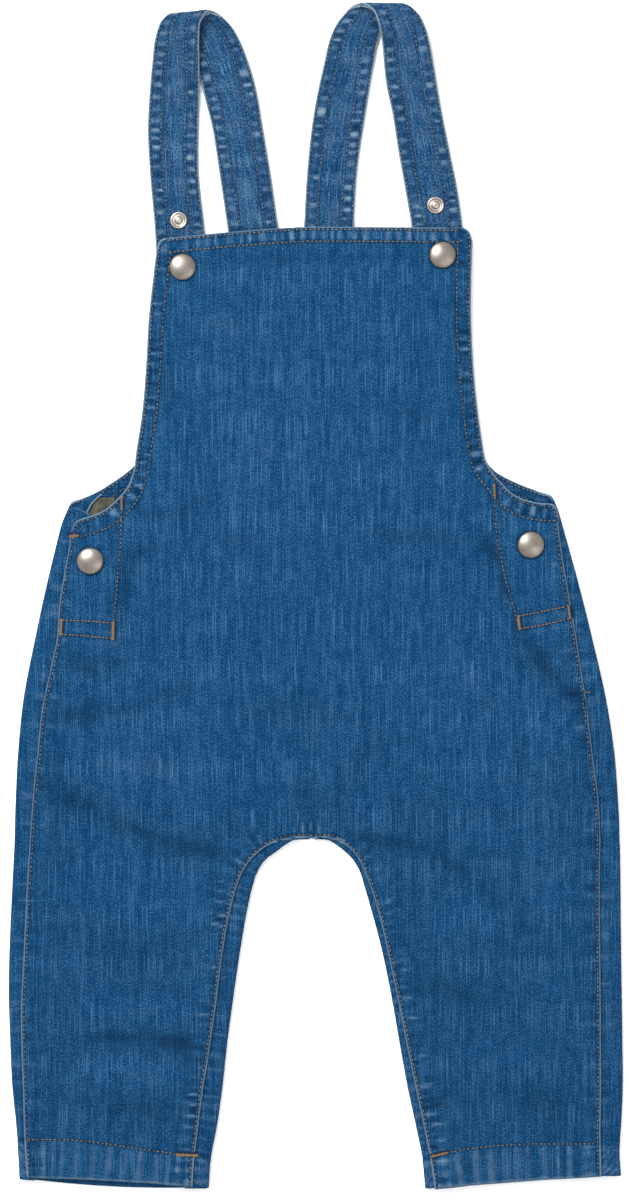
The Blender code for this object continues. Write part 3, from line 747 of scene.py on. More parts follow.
def denim(name, deep, middle, pale, worn, streak_length=0.032):
    """Washed denim: thin uneven streaks along the warp, flecks of bare weft, cloudy patches of
    dye, paler where it is worn and where light is painted on ridges, and darker where shade is
    painted in its creases, along its rows of stitches and round its snap caps, with a fine ribbed
    surface."""
    finish = Finish(name)
    grain = finish.read(finish.add("ShaderNodeAttribute", attribute_name="grain"), "Vector")
    wear = finish.read(finish.add("ShaderNodeAttribute", attribute_name="wear"), "Fac")
    streaks = finish.noise(grain, (1700.0, 1.0 / streak_length, 1.0), 1.0, 0.6)
    threads = finish.noise(grain, (2300.0, 1.3 / streak_length, 1.0), 0.0)
    flecks = finish.noise(grain, (1500.0, 1250.0, 1.0), 1.0, 0.7)
    stripes = finish.noise(grain, (190.0, 5.0, 1.0), 2.0)
    cloud = finish.noise(grain, (210.0, 160.0, 1.0), 4.0, 0.7)
    slubs = ((threads - 0.65) * 12.0).clamp() * (flecks * 2.6 - 0.6).clamp()
    tone = 0.47 + (streaks - 0.5) * 0.7 + (flecks - 0.5) * 1.9
    tone = tone + (cloud - 0.5) * 0.8 + (stripes - 0.5) * 0.35
    tone = (tone + slubs * 0.9).clamp()
    stops = [(0.1, deep), (0.48, middle), (0.95, pale)]
    ramp = finish.add("ShaderNodeValToRGB", {"Fac": tone}, stops=stops)
    colour = finish.read(ramp, "Color")
    # Towards the worn colour where the cloth is worn, and where light is painted on crease ridges.
    paler = (wear * 0.85 + (flecks - 0.5) * 1.1 * wear).clamp()
    colour = finish.mix(paler, colour, (*worn, 1.0))
    # Painted shade: below 0 the colour darkens towards a deep navy, in creases, along rows of stitches
    # and round the snap caps.
    colour = finish.mix((wear * -0.8).clamp(), colour, tuple(0.40 * c for c in deep) + (1.0,))
    ribs = finish.bump(streaks * 0.5 + flecks, 0.00025, 0.6)
    return finish.finish(
        Base_Color=colour, Roughness=0.88, Normal=ribs, Specular_IOR_Level=0.05, Sheen_Weight=0.01
    )


LIGHT_GAIN = 2.33  # how many times its own colour cloth looks under the lamps


def dye(red, green, blue):
    """The shader colour that looks like a display colour under the lamps."""
    return tuple(share / LIGHT_GAIN for share in linear(red, green, blue))


DENIM = denim(
    "washed_denim", dye(2, 55, 100), dye(14, 80, 128), dye(70, 122, 170), dye(140, 170, 196)
)

left_index, right_index, own = joined_halves(front_xy["left"], front_xy["right"], ~below_crotch)
front_points = np.concatenate([front_xy["left"].reshape(-1, 2), front_xy["right"][own]])
front_height, front_wear_and_shading = front_surface(front_points)
front_grain = np.column_stack([front_points, np.zeros(len(front_points))]) * MM
front = new_piece(
    "front_denim",
    np.column_stack([front_points, front_height]),
    np.concatenate([quads_of(left_index, False), quads_of(right_index, True)]).tolist(),
    {"grain": front_grain, "wear": front_wear_and_shading},
    DENIM,
    CLOTH,
)
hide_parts("front_panel")

# ---------------------------------------------------------------------------------------------
# Back: cut wider than the front, of the same denim. Its legs and sides wrap round and up over
# themselves to meet the front at the seams, and its armholes are faced and stitched twice.
# ---------------------------------------------------------------------------------------------
BACK_STEP = 1.9  # between its rows of points
ARC_COLUMNS = 9  # of points round a fold, on the cloth past it and on the flat part
RETURN_COLUMNS = 6
FLAT_COLUMNS = 26
ROW_GAP = 0.04  # the least from one row down to the next, where the rows crowd at the crotch
TUCK = 4.0  # how far it runs in under the front's edge
ARMHOLE_HEM = 3.0
BACK_FACING_ROW = 6.0  # how far in the second row of stitches runs at its armholes
UNEDGED = 99.0  # cloth left to an edge where there is none

# Sections of each half: the line it folds round at the side, its centre or the line it folds
# round at the inner leg, and there the cloth past that line and how far it has folded, degrees.
BACK = {
    "left": [
        # side_x, side_y, inner_x, inner_y, wrap, curl
        (-45.0, 148.5, -2.5, 148.5, 1.5, 0.0),
        (-50.0, 130.0, -2.5, 130.0, 1.5, 0.0),
        (-60.0, 110.0, -2.5, 110.0, 1.5, 0.0),
        (-72.0, 90.0, -2.5, 90.0, 1.5, 0.0),
        (-83.5, 74.0, -2.5, 75.0, 1.5, 0.0),
        (-93.0, 63.7, -2.5, 65.5, 1.5, 0.0),
        (-101.5, 57.5, -2.5, 60.0, 1.5, 0.0),
        (-111.0, 51.8, -2.5, 55.0, 1.5, 0.0),
        (-118.0, 49.0, -2.5, 52.0, 1.5, 0.0),
        (-122.3, 47.4, -2.5, 50.0, 1.5, 0.0),
        (-123.8, 44.5, -2.5, 47.5, 1.5, 0.0),
        (-125.0, 41.5, -2.5, 45.0, 1.5, 0.0),
        (-126.5, 38.0, -2.5, 42.0, 1.5, 0.0),
        (-130.0, 25.0, -2.5, 28.0, 1.5, 0.0),
        (-134.0, 8.5, -2.5, 9.0, 1.5, 0.0),
        (-140.5, -21.5, -2.5, -21.5, 1.5, 0.0),
        (-146.0, -50.0, -2.5, -50.0, 1.5, 0.0),
        (-149.0, -80.0, -2.5, -83.0, 1.5, 0.0),
        (-150.0, -100.0, -2.5, -108.0, 1.5, 0.0),
        (-150.3, -108.0, -2.5, -118.0, 1.5, 0.0),
        (-150.4, -111.5, -2.6, -119.9, 1.5, 0.0),
        (-150.5, -116.0, -8.0, -120.7, 2.0, 40.0),
        (-150.6, -121.0, -13.5, -123.0, 9.5, 180.0),
        (-150.8, -126.0, -19.0, -127.0, 12.0, 180.0),
        (-151.1, -132.0, -25.0, -131.5, 14.0, 180.0),
        (-151.5, -139.0, -29.0, -137.5, 15.0, 180.0),
        (-151.9, -148.0, -31.5, -145.0, 18.0, 180.0),
        (-152.5, -160.0, -34.0, -156.0, 18.0, 180.0),
        (-153.2, -178.0, -37.5, -176.0, 17.5, 180.0),
        (-153.5, -200.0, -41.0, -200.0, 17.5, 180.0),
        (-152.8, -222.0, -44.0, -222.0, 17.5, 180.0),
        (-151.8, -244.0, -46.5, -245.0, 18.5, 180.0),
        (-149.8, -264.0, -49.5, -266.0, 18.5, 180.0),
        (-148.6, -279.0, -52.5, -282.0, 17.0, 180.0),
        (-148.0, -291.2, -53.5, -295.6, 17.0, 180.0),
    ],
    "right": [
        (23.0, 148.5, 0.5, 148.5, 1.5, 0.0),
        (36.0, 130.0, 0.5, 130.0, 1.5, 0.0),
        (52.0, 110.0, 0.5, 110.0, 1.5, 0.0),
        (68.0, 90.0, 0.5, 90.0, 1.5, 0.0),
        (80.0, 75.0, 0.5, 75.0, 1.5, 0.0),
        (90.0, 63.0, 0.5, 65.5, 1.5, 0.0),
        (98.5, 58.2, 0.5, 60.0, 1.5, 0.0),
        (107.0, 54.6, 0.5, 55.0, 1.5, 0.0),
        (113.0, 52.5, 0.5, 52.0, 1.5, 0.0),
        (118.4, 50.6, 0.5, 50.0, 1.5, 0.0),
        (120.0, 47.0, 0.5, 47.5, 1.5, 0.0),
        (121.4, 43.5, 0.5, 45.0, 1.5, 0.0),
        (123.0, 38.0, 0.5, 42.0, 1.5, 0.0),
        (126.8, 24.5, 0.5, 28.0, 1.5, 0.0),
        (131.2, 8.5, 0.5, 9.0, 1.5, 0.0),
        (138.7, -21.5, 0.5, -21.5, 1.5, 0.0),
        (145.2, -50.0, 0.5, -50.0, 1.5, 0.0),
        (149.8, -80.0, 0.5, -83.0, 1.5, 0.0),
        (151.3, -100.0, 0.5, -108.0, 1.5, 0.0),
        (151.8, -108.0, 0.5, -118.0, 1.5, 0.0),
        (152.0, -111.5, 0.6, -119.9, 1.5, 0.0),
        (152.1, -116.0, 4.0, -120.7, 2.0, 40.0),
        (152.2, -121.0, 9.0, -123.0, 9.0, 180.0),
        (152.4, -126.0, 14.3, -127.0, 10.0, 180.0),
        (152.5, -132.0, 18.8, -131.5, 10.5, 180.0),
        (152.6, -139.0, 22.2, -137.5, 12.0, 180.0),
        (152.7, -148.0, 24.5, -145.0, 12.5, 180.0),
        (152.8, -160.0, 28.0, -157.0, 12.5, 180.0),
        (153.0, -178.0, 33.0, -176.0, 12.0, 180.0),
        (153.3, -200.0, 38.0, -200.0, 12.0, 180.0),
        (153.6, -222.0, 42.0, -223.0, 12.5, 180.0),
        (153.8, -244.0, 46.0, -245.0, 13.5, 180.0),
        (153.0, -264.0, 50.5, -266.0, 13.5, 180.0),
        (152.0, -278.0, 53.5, -281.0, 13.0, 180.0),
        (152.8, -289.4, 55.0, -295.8, 13.0, 180.0),
    ],
}
TURN_STARTS = {"left": 47.5, "right": 50.5}  # y where each side starts to fold over


def folded_over(start, outward, wrap, angle):
    """Cloth running outward from start points and curling up over itself: along an arc of the
    fold's radius until it has turned by an angle, then straight. It gives the points, the
    directions that they face, how far each has turned, and the cloth left to its edge."""
    arc = np.where(angle > 0.0, np.minimum(FOLD * angle, 0.8 * wrap), 0.5 * wrap)
    share = np.linspace(0.0, 1.0, ARC_COLUMNS + 1)
    straight = np.linspace(0.0, 1.0, RETURN_COLUMNS + 1)[1:]
    run = np.concatenate([arc[:, None] * share, arc[:, None] + (wrap - arc)[:, None] * straight], axis=1)
    turned = np.minimum(run / FOLD, angle[:, None])
    past = np.maximum(run - FOLD * angle[:, None], 0.0)
    out = FOLD * np.sin(turned) + past * np.cos(angle)[:, None]
    up = FOLD * (1.0 - np.cos(turned)) + past * np.sin(angle)[:, None]
    flat = start[:, None] + outward[:, None] * out[..., None]
    points = np.concatenate([flat, up[..., None]], axis=-1)
    level = outward[:, None] * np.sin(turned)[..., None]
    facing = np.concatenate([level, -np.cos(turned)[..., None]], axis=-1)
    return points, facing, turned, wrap[:, None] - run


def side_folds(side, rows):
    """A half's cloth past its flat part at the side, curled over: a narrow hem at the armhole,
    and below it a strip that reaches in under the front's edge."""
    fronts = np.interp(-rows[:, 1], -edges[side][:, 1], np.abs(edges[side][:, 0]))
    below = TURN_STARTS[side] - rows[:, 1]
    angle = math.pi * ease((below + 4.0) / 10.0)
    full = math.pi * FOLD + np.maximum(np.abs(rows[:, 0]) - FOLD - fronts + TUCK, 0.0)
    wrap = ARMHOLE_HEM + (full - ARMHOLE_HEM) * ease(below / 10.0)
    flat_part = FOLD * np.sin(angle) + np.maximum(wrap - FOLD * angle, 0.0) * np.cos(angle)
    inset_by = np.where(angle < math.pi / 2, np.maximum(flat_part, FOLD * np.sin(angle)), FOLD)
    outward = np.tile([SIDES[side], 0.0], (len(rows), 1))
    return folded_over(rows[:, :2] - outward * inset_by[:, None], outward, wrap, angle)


def inner_folds(side, rows):
    """A half's cloth from the centre line, or from the edge of what is folded over at the inner
    leg, to where its flat part starts. Each row stays a gap below the one before."""
    ahead = np.gradient(rows[:, 2:4], axis=0)
    ahead /= np.linalg.norm(ahead, axis=1, keepdims=True)
    outward = np.column_stack([-ahead[:, 1], ahead[:, 0]]) * -SIDES[side]
    angle = np.radians(np.clip(rows[:, 5], 0.0, 180.0))
    wrap = np.maximum(rows[:, 4], 0.5)
    start = rows[:, 2:4] - outward * (FOLD * np.sin(np.minimum(angle, math.pi / 2)))[:, None]
    points, facing, turned, left = (
        values[:, ::-1] for values in folded_over(start, outward, wrap, angle)
    )
    body = rows[:, 3] > SHARED_TO
    points[body, 0, 0] = CENTRE
    points[body, 0, 1] = rows[body, 3]
    left[body] = UNEDGED
    gaps = ROW_GAP * np.arange(len(rows))[:, None]
    points[..., 1] = np.minimum.accumulate(points[..., 1] + gaps, axis=0) - gaps
    return points, facing, turned, left


def back_half(side, rows):
    """Half of the back as rows of points, from the centre or the inner leg's folded edge, flat
    on the table, out to the folded edge at the side. It also gives the way that each point
    faces, how far it has turned, and the cloth left to the nearer edge."""
    inner, outer = inner_folds(side, rows), side_folds(side, rows)
    first, last = inner[0][:, -1:], outer[0][:, :1]
    flat = first + (last - first) * np.linspace(0.0, 1.0, FLAT_COLUMNS + 1)[None, 1:-1, None]
    down = np.zeros(flat.shape) + (0.0, 0.0, -1.0)
    level = np.zeros(flat.shape[:2])
    middle = (flat, down, level, level + UNEDGED)
    return [np.concatenate(parts, axis=1) for parts in zip(inner, middle, outer)]


def back_surface(points, facing, turned, left):
    """The back's points with their gathers, along the way they face, and their tone: worn dye, with
    painted shade along the rows of stitches at its armholes and hems.
    """
    x, y = points[..., 0], points[..., 1]
    sag = 1.9 * ease((-272.0 - y) / 18.0) * np.clip(1.0 - ((x + 100.0) / 46.0) ** 2, 0.0, 1.0)
    points = points - sag[..., None] * (0.0, 1.0, 0.0)
    flat = points[..., :2]
    shown = (1.0 - np.cos(turned)) / 2.0
    wear = 0.06 * (mottle(flat, 8.0, 81) + mottle(flat, 4.0, 82)) + 0.05 * mottle(flat, 26.0, 83)
    wear -= 0.06
    lift = np.zeros(left.shape)
    for number, (side, sign) in enumerate(SIDES.items()):
        own = on_half(flat[..., 0], sign)
        away, along = nearest(flat, edges[side])
        gather = 0.6 * pucker(along, 10.5, 20 + number) + 0.5 * pucker(along, 4.8, 90 + number)
        seam = ease((10.0 - away) / 8.0) * ease((ARMHOLE_FOOT[side] - flat[..., 1]) / 6.0)
        lift += 0.18 * gather * seam * shown
        wear += 0.34 * gather * seam * shown
        away, along = nearest(flat, back_armholes[side])
        gather = pucker(along, 4.6, 94 + number)
        between = band(away, EDGE_ROW, BACK_FACING_ROW)
        wear += 0.60 * gather * between + 0.85 * ease((0.8 - away) / 0.7)
        # Painted shade along the armhole's two rows of stitches.
        wear -= 0.45 * (bell(away - EDGE_ROW, 0.6) + bell(away - BACK_FACING_ROW, 0.6))
        below = hem_line(flat, side)
        rib = pucker(flat[..., 1] + flat[..., 0], 4.6, 98 + number)
        hem = ease((below + 0.8) / 1.2) * own * shown
        lift += hem * (0.25 + 0.14 * rib) - 0.2 * bell(below, 0.7) * own * shown
        # Worn ribs on the hem, and painted shade along its row of stitches.
        wear += hem * (0.16 + 0.34 * rib) - 0.4 * bell(below, 0.8) * own * shown
    away, along = nearest(flat, arch)
    gather = pucker(along, 5.0, 60)
    near = ease((14.0 - away) / 8.0) * shown * ease((SHARED_TO - flat[..., 1]) / 6.0)
    lift += 0.16 * gather * near
    wear += 0.32 * gather * near
    wear += 0.7 * ease((0.8 - left) / 0.7) * shown**6
    return points + facing * lift[..., None], np.clip(wear, -1.0, 1.0)


POSITIONS = [0, 1, 2, 3, 6, 7, 8, 9]  # columns of both halves' tables that are places, not angles
both = smooth_rows(np.concatenate([BACK["left"], BACK["right"]], axis=1), BACK_STEP, POSITIONS)
backs = {"left": both[:, :6], "right": both[:, 6:]}
back_armholes = {side: rows[rows[:, 1] >= TURN_STARTS[side] - 1.0, :2] for side, rows in backs.items()}
made = {side: back_half(side, rows) for side, rows in backs.items()}
left_index, right_index, own = joined_halves(
    made["left"][0], made["right"][0], both[:, 3] > SHARED_TO
)
grids = [
    np.concatenate([a.reshape(-1, *a.shape[2:]), b[own]]) for a, b in zip(made["left"], made["right"])
]
back_points, back_wear_and_shading = back_surface(*grids)
# Its streaks are those of another stretch of the cloth, and go on down its folds.
back_grain = (back_points + (3000.0, 0.0, 0.0)) * (1.0, 1.0, 2.0) * MM
back = new_piece(
    "back_denim",
    back_points,
    np.concatenate([quads_of(left_index, True), quads_of(right_index, False)]).tolist(),
    {"grain": back_grain, "wear": back_wear_and_shading},
    DENIM,
    CLOTH,
)
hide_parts("back_panel")

# ---------------------------------------------------------------------------------------------
# Straps: each is a band of denim folded double, about 25 mm wide, stitched in two rows along each
# edge. It comes up from under the bib, loops over and runs back down inside the back.
# ---------------------------------------------------------------------------------------------
STRAP_STEP = 1.3  # between its rows of points
STRAP_COLUMNS = 46
PLY = STRAP / 4  # radius of each ply's rounded edge
PLY_GROOVE = 0.12  # how far the groove between the plies stands out from where they start to round
STRAP_ROWS = (1.2, 6.6)  # how far in from each edge its two rows of stitches run
STRAPS = {
    "left": [
        # inner_x, inner_y, outer_x, outer_y, height
        (-54.0, 153.0, -79.0, 153.0, 1.2),
        (-55.5, 184.0, -80.5, 184.0, 1.2),
        (-58.5, 213.0, -83.0, 213.0, 1.2),
        (-58.5, 234.0, -84.0, 234.0, 1.3),
        (-58.0, 253.0, -83.0, 253.0, 2.8),
        (-58.0, 268.0, -81.5, 268.0, 5.2),
        (-58.0, 279.0, -80.0, 279.0, 7.4),
        (-57.0, 287.3, -77.0, 286.9, 8.8),
        (-54.5, 291.0, -74.5, 289.2, 8.0),
        (-52.0, 292.3, -72.0, 290.5, 5.6),
        (-48.0, 291.2, -70.5, 288.8, 2.8),
        (-43.0, 287.0, -67.0, 283.0, 1.5),
        (-38.0, 279.0, -63.0, 274.0, 1.2),
        (-34.0, 269.0, -59.5, 265.0, 1.2),
        (-29.2, 252.0, -55.0, 248.0, 1.2),
        (-26.5, 236.0, -52.0, 236.0, 1.2),
        (-22.3, 211.0, -48.0, 211.0, 1.2),
        (-18.5, 184.0, -44.0, 184.0, 1.2),
        (-14.0, 149.0, -39.0, 149.0, 1.2),
    ],
    "right": [
        (51.0, 158.0, 75.5, 158.0, 1.2),
        (48.0, 186.0, 73.5, 187.5, 1.2),
        (45.0, 203.5, 71.2, 203.5, 1.2),
        (41.4, 223.5, 67.2, 223.5, 1.2),
        (38.2, 243.5, 63.2, 243.5, 1.5),
        (35.6, 255.0, 61.0, 255.5, 2.6),
        (34.3, 265.0, 59.0, 267.0, 4.4),
        (33.5, 274.0, 57.0, 277.0, 6.4),
        (32.5, 281.0, 55.0, 284.0, 8.0),
        (31.2, 286.4, 52.5, 289.2, 9.0),
        (29.0, 292.0, 49.0, 293.0, 8.6),
        (25.5, 295.0, 45.5, 295.0, 7.0),
        (22.0, 295.9, 42.0, 295.4, 5.0),
        (18.0, 295.1, 39.0, 294.1, 3.0),
        (14.0, 291.4, 36.0, 290.9, 1.7),
        (10.0, 286.0, 33.2, 285.0, 1.3),
        (7.0, 279.0, 31.2, 277.5, 1.2),
        (4.5, 268.5, 29.3, 267.0, 1.2),
        (-0.7, 243.5, 25.4, 243.5, 1.2),
        (-4.2, 213.5, 21.0, 213.5, 1.2),
        (-5.8, 186.0, 19.2, 186.0, 1.2),
        (-8.0, 149.0, 17.0, 149.0, 1.2),
    ],
}


class Strap:
    """A doubled band: its rows of edges, and its faces as functions of the way along and across."""

    def __init__(self, side):
        self.side = side
        self.seed = 200 if side == "left" else 300
        rows = smooth_rows(STRAPS[side], STRAP_STEP)
        self.inner = np.column_stack([rows[:, 0:2], rows[:, 4]])
        self.outer = np.column_stack([rows[:, 2:4], rows[:, 4]])
        middle = (self.inner + self.outer) / 2.0
        steps = np.linalg.norm(np.diff(middle, axis=0), axis=1)
        self.along = np.concatenate([[0.0], np.cumsum(steps)])
        self.width = np.linalg.norm(self.outer - self.inner, axis=1)
        ahead = np.gradient(middle, axis=0)
        across = self.outer - self.inner
        up = np.cross(across, ahead)
        up /= np.linalg.norm(up, axis=1, keepdims=True)
        self.up = up * np.where(up[:, 2:] < 0.0, -1.0, 1.0)

    def at(self, along, across, face):
        """Points of a face, 1 for the upper and -1 for the lower, at distances along the band
        and across it from its inner edge, with how worn they are and the painted shade along their
        rows of stitches. A face stands half a band from the middle, ridged between its rows of
        stitches and gathered there."""
        width = np.interp(along, self.along, self.width)
        share = across / width
        inner, outer, up = (
            np.stack([np.interp(along, self.along, values[:, k]) for k in range(3)], axis=-1)
            for values in (self.inner, self.outer, self.up)
        )
        edge = np.minimum(across, width - across)
        near = share < 0.5
        wave = np.where(near, pucker(along, 5.4, self.seed), pucker(along, 5.4, self.seed + 5))
        slow = wander(along / 13.0, self.seed + 9)
        slow = np.where(near, slow, wander(along / 13.0, self.seed + 12))
        between = band(edge, STRAP_ROWS[0] + 0.5, STRAP_ROWS[1] - 0.5)
        rows = bell(edge - STRAP_ROWS[0], 0.5) + bell(edge - STRAP_ROWS[1], 0.55)
        rise = 0.22 * between * wave * face + 0.10 * between - 0.20 * rows
        flat = np.stack([across, along], axis=-1)
        patches = mottle(flat, 5.0, self.seed + 20)
        small = 0.6 + 0.6 * mottle(flat, 2.4, self.seed + 25 + int(face))
        centred = bell(edge - 0.5 * (STRAP_ROWS[0] + STRAP_ROWS[1]), 2.6)
        # Worn gathers between the rows of stitches, and painted shade along the rows.
        wear = between * (1.3 * wave * small * centred + 0.12 * slow - 0.08) - 0.5 * rows
        wear += 0.07 * patches + 0.04 + ease((1.0 - edge) / 0.6)
        points = inner + (outer - inner) * share[..., None]
        return points + up * (face * (STRAP / 2.0 + rise))[..., None], wear


def strap_skin(strap):
    """The band's skin: round it from the upper face over two rounded plies to the lower face
    and back, carried along it and closed at both ends. It gives points, faces and facts."""
    k = np.linspace(0.0, 1.0, STRAP_COLUMNS + 1)
    spread = k - 0.6 * np.sin(2 * math.pi * k) / (2 * math.pi)
    turn = np.linspace(0.0, math.pi, 5)[1:-1]
    along = np.repeat(strap.along[:, None], STRAP_COLUMNS + 1, axis=1)
    across = PLY + (strap.width[:, None] - 2 * PLY) * spread
    upper, upper_wear_and_shading = strap.at(along, across, 1.0)
    lower, lower_wear_and_shading = strap.at(along, across, -1.0)
    levels = np.concatenate([PLY + PLY * np.cos(turn), [0.0], -PLY + PLY * np.cos(turn)])
    out = np.concatenate([PLY * np.sin(turn), [PLY_GROOVE], PLY * np.sin(turn)])

    def rounded(edge, into):
        """Two half circles, one for each ply, from the upper face down to the lower."""
        base = edge + into * PLY
        return base[:, None] - into[:, None] * out[:, None] + strap.up[:, None] * levels[:, None]

    across_way = (strap.outer - strap.inner) / strap.width[:, None]
    outer_side = rounded(strap.outer, -across_way)
    inner_side = rounded(strap.inner, across_way)[:, ::-1]
    skin = np.concatenate([upper, outer_side, lower[:, ::-1], inner_side], axis=1)
    # Round each ply's edge: pale worn cloth, and painted shade in the groove between the two plies.
    pale = np.tile([1.0, 1.0, 0.8, -0.9, 0.8, 1.0, 1.0], (len(skin), 1))
    wear = np.concatenate([upper_wear_and_shading, pale, lower_wear_and_shading[:, ::-1], pale], axis=1)
    around = np.linspace(0.0, 60.0, skin.shape[1])[None, :] + 0.0 * wear
    grain = np.stack([around + strap.seed, along[:, :1] + 0.0 * wear, 0.0 * wear], axis=-1)
    index = np.arange(wear.size).reshape(wear.shape)
    index = np.concatenate([index, index[:, :1]], axis=1)
    turned = strap.side == "right"
    start, end = (index[row, :-1].tolist() for row in (0, -1))
    ends = [start, end[::-1]] if turned else [start[::-1], end]
    facts = {"grain": grain.reshape(-1, 3) * MM, "wear": np.clip(wear, -1.0, 1.0).ravel()}
    return skin.reshape(-1, 3), quads_of(index, turned).tolist() + ends, facts


STRAP_DENIM = denim(
    "doubled_denim", dye(8, 50, 92), dye(28, 80, 126), dye(84, 130, 170), dye(158, 186, 206), 0.02
)
straps = {side: Strap(side) for side in ("left", "right")}
for side, strap in straps.items():
    piece = new_piece(f"strap_{side}_denim", *strap_skin(strap), STRAP_DENIM)
    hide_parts(f"strap_{side}")

# ---------------------------------------------------------------------------------------------
# Underlaps: strips of olive cotton twill sewn under the side openings, on the back's side, that
# the front snaps to. The left one shows at the armhole, half covered by the back's denim lap.
# ---------------------------------------------------------------------------------------------
UNDERLAP_COLUMNS = 20
UNDERLAP_STEP = 1.1  # between its rows of points
TWILL_WALL = 0.9
LAP_WALL = 0.8
LAP_LIFT = 1.5  # how far the denim lap lies above the twill
UNDERLAPS = {
    "left": [
        # y, outer_x, inner_x, rise of the outer edge
        (49.8, -109.5, -100.5, 0.0),
        (47.0, -111.0, -99.5, 0.2),
        (42.5, -113.0, -99.5, 0.9),
        (38.0, -115.5, -99.5, 1.8),
        (33.0, -117.0, -99.5, 2.1),
        (12.0, -121.0, -100.0, 2.1),
        (-6.0, -123.0, -100.5, 2.1),
        (-23.0, -125.0, -101.0, 2.1),
    ],
    "right": [
        (44.0, 115.0, 97.0, 1.4),
        (38.0, 116.5, 97.5, 2.1),
        (12.0, 120.0, 99.0, 2.1),
        (-6.0, 123.0, 101.0, 2.1),
        (-23.0, 126.0, 103.0, 2.1),
    ],
}
LAP = [
    # y, outer_x, inner_x, rise, as above
    (51.6, -109.0, -106.4, 0.0),
    (50.4, -111.6, -107.8, 0.1),
    (48.6, -115.0, -109.8, 0.4),
    (46.2, -118.2, -111.8, 1.0),
    (43.0, -119.6, -113.4, 1.7),
    (38.0, -121.0, -115.0, 2.2),
    (30.0, -122.0, -116.5, 2.2),
]


def strip(rows, lift):
    """A strip across rows of y, outer x, inner x and the outer edge's rise, which eases out
    towards the inner edge. It lies a lift above the back, a little uneven. It gives the points,
    the faces' point numbers, the cloth's grain, and how far across each point is."""
    rows = smooth_rows(rows, UNDERLAP_STEP, [0, 1, 2])
    across = np.linspace(0.0, 1.0, UNDERLAP_COLUMNS + 1)[None, :]
    x = rows[:, 1:2] + (rows[:, 2:3] - rows[:, 1:2]) * across
    y = np.repeat(rows[:, :1], UNDERLAP_COLUMNS + 1, axis=1)
    flat = np.stack([x, y], axis=-1)
    z = 2 * CLOTH + SEAM + lift + rows[:, 3:4] * (1.0 - ease(across)) + 0.12 * mottle(flat, 4.0, 400)
    points = np.stack([x, y, z], axis=-1).reshape(-1, 3)
    return points, np.arange(x.size).reshape(x.shape), points * (1.0, 1.0, 0.0) * MM, across


def twill(name, ground, rib):
    """Brushed cotton twill: slanting ribs over a mottled ground, with a soft nap."""
    finish = Finish(name)
    grain = finish.read(finish.add("ShaderNodeAttribute", attribute_name="grain"), "Vector")
    slant = (0.0, 0.0, math.radians(38.0))
    turned = finish.add("ShaderNodeMapping", {"Vector": grain, "Rotation": slant})
    values = {"Vector": finish.read(turned, "Vector"), "Scale": 420.0, "Distortion": 1.5, "Detail": 1.0}
    ribs = finish.read(finish.add("ShaderNodeTexWave", values), "Fac")
    cloud = finish.noise(grain, (260.0, 260.0, 1.0), 3.0)
    shade = finish.mix((ribs * 0.7 + (cloud - 0.5) * 1.6 + 0.1).clamp(), (*ground, 1.0), (*rib, 1.0))
    relief = finish.bump(ribs, 0.0002)
    return finish.finish(Base_Color=shade, Roughness=0.92, Normal=relief, Specular_IOR_Level=0.08)


TWILL = twill("olive_twill", dye(58, 66, 62), dye(150, 142, 120))
for side, rows in UNDERLAPS.items():
    points, index, grain, across = strip(rows, 0.0)
    faces = quads_of(index, side == "left").tolist()
    piece = new_piece(f"underlap_{side}_twill", points, faces, {"grain": grain}, TWILL, TWILL_WALL)
    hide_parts(f"underlap_{side}")

points, index, grain, across = strip(LAP, LAP_LIFT)
wide = np.abs(points[index[:, 0], 0] - points[index[:, -1], 0])[:, None]
from_inner = ((1.0 - across) * wide).ravel()
# A pale worn inner edge, with a line of painted shade just inside it.
lap_wear_and_shading = ease((1.2 - from_inner) / 0.5) - 0.35 * bell(from_inner - 1.6, 0.7)
lap = new_piece(
    "opening_lap_denim",
    points,
    quads_of(index, True).tolist(),
    {"grain": grain, "wear": lap_wear_and_shading},
    DENIM,
    LAP_WALL,
)

# ---------------------------------------------------------------------------------------------
# Snaps: four domed caps of brushed nickel on the front, pressed through it, and on each strap a
# pearl-plated stud with a ring round it, which the cap's inner half presses on to.
# ---------------------------------------------------------------------------------------------
SNAP_SIDES = 48
SNAP_STEP = 0.28  # between its rings of points
# The studs' places: x, y and the height of the strap that each sits on.
STUDS = {"stud_left": (-68.5, 188.5, 2.7), "stud_right": (60.0, 196.0, 2.7)}
CAP_PROFILE = [
    # radius, height, from the foot up over the rolled rim and the dome
    (5.6, -0.9), (6.3, -0.8), (6.65, -0.3), (6.78, 0.3), (6.7, 0.9), (6.4, 1.35), (5.9, 1.7),
    (5.0, 2.08), (3.9, 2.42), (2.6, 2.7), (1.3, 2.86), (0.0, 2.92),
]
STUD_PROFILE = [
    # radius, height: a rounded outer ring, a groove, a ring at its foot and the domed stud
    (3.7, -0.6), (4.15, -0.3), (4.3, 0.3), (4.15, 0.8), (3.75, 1.05), (3.3, 0.9), (3.0, 0.55),
    (2.6, 0.42), (2.2, 0.5), (1.95, 0.75), (1.85, 1.2), (1.88, 1.7), (1.7, 2.15), (1.2, 2.4), (0.0, 2.48),
]


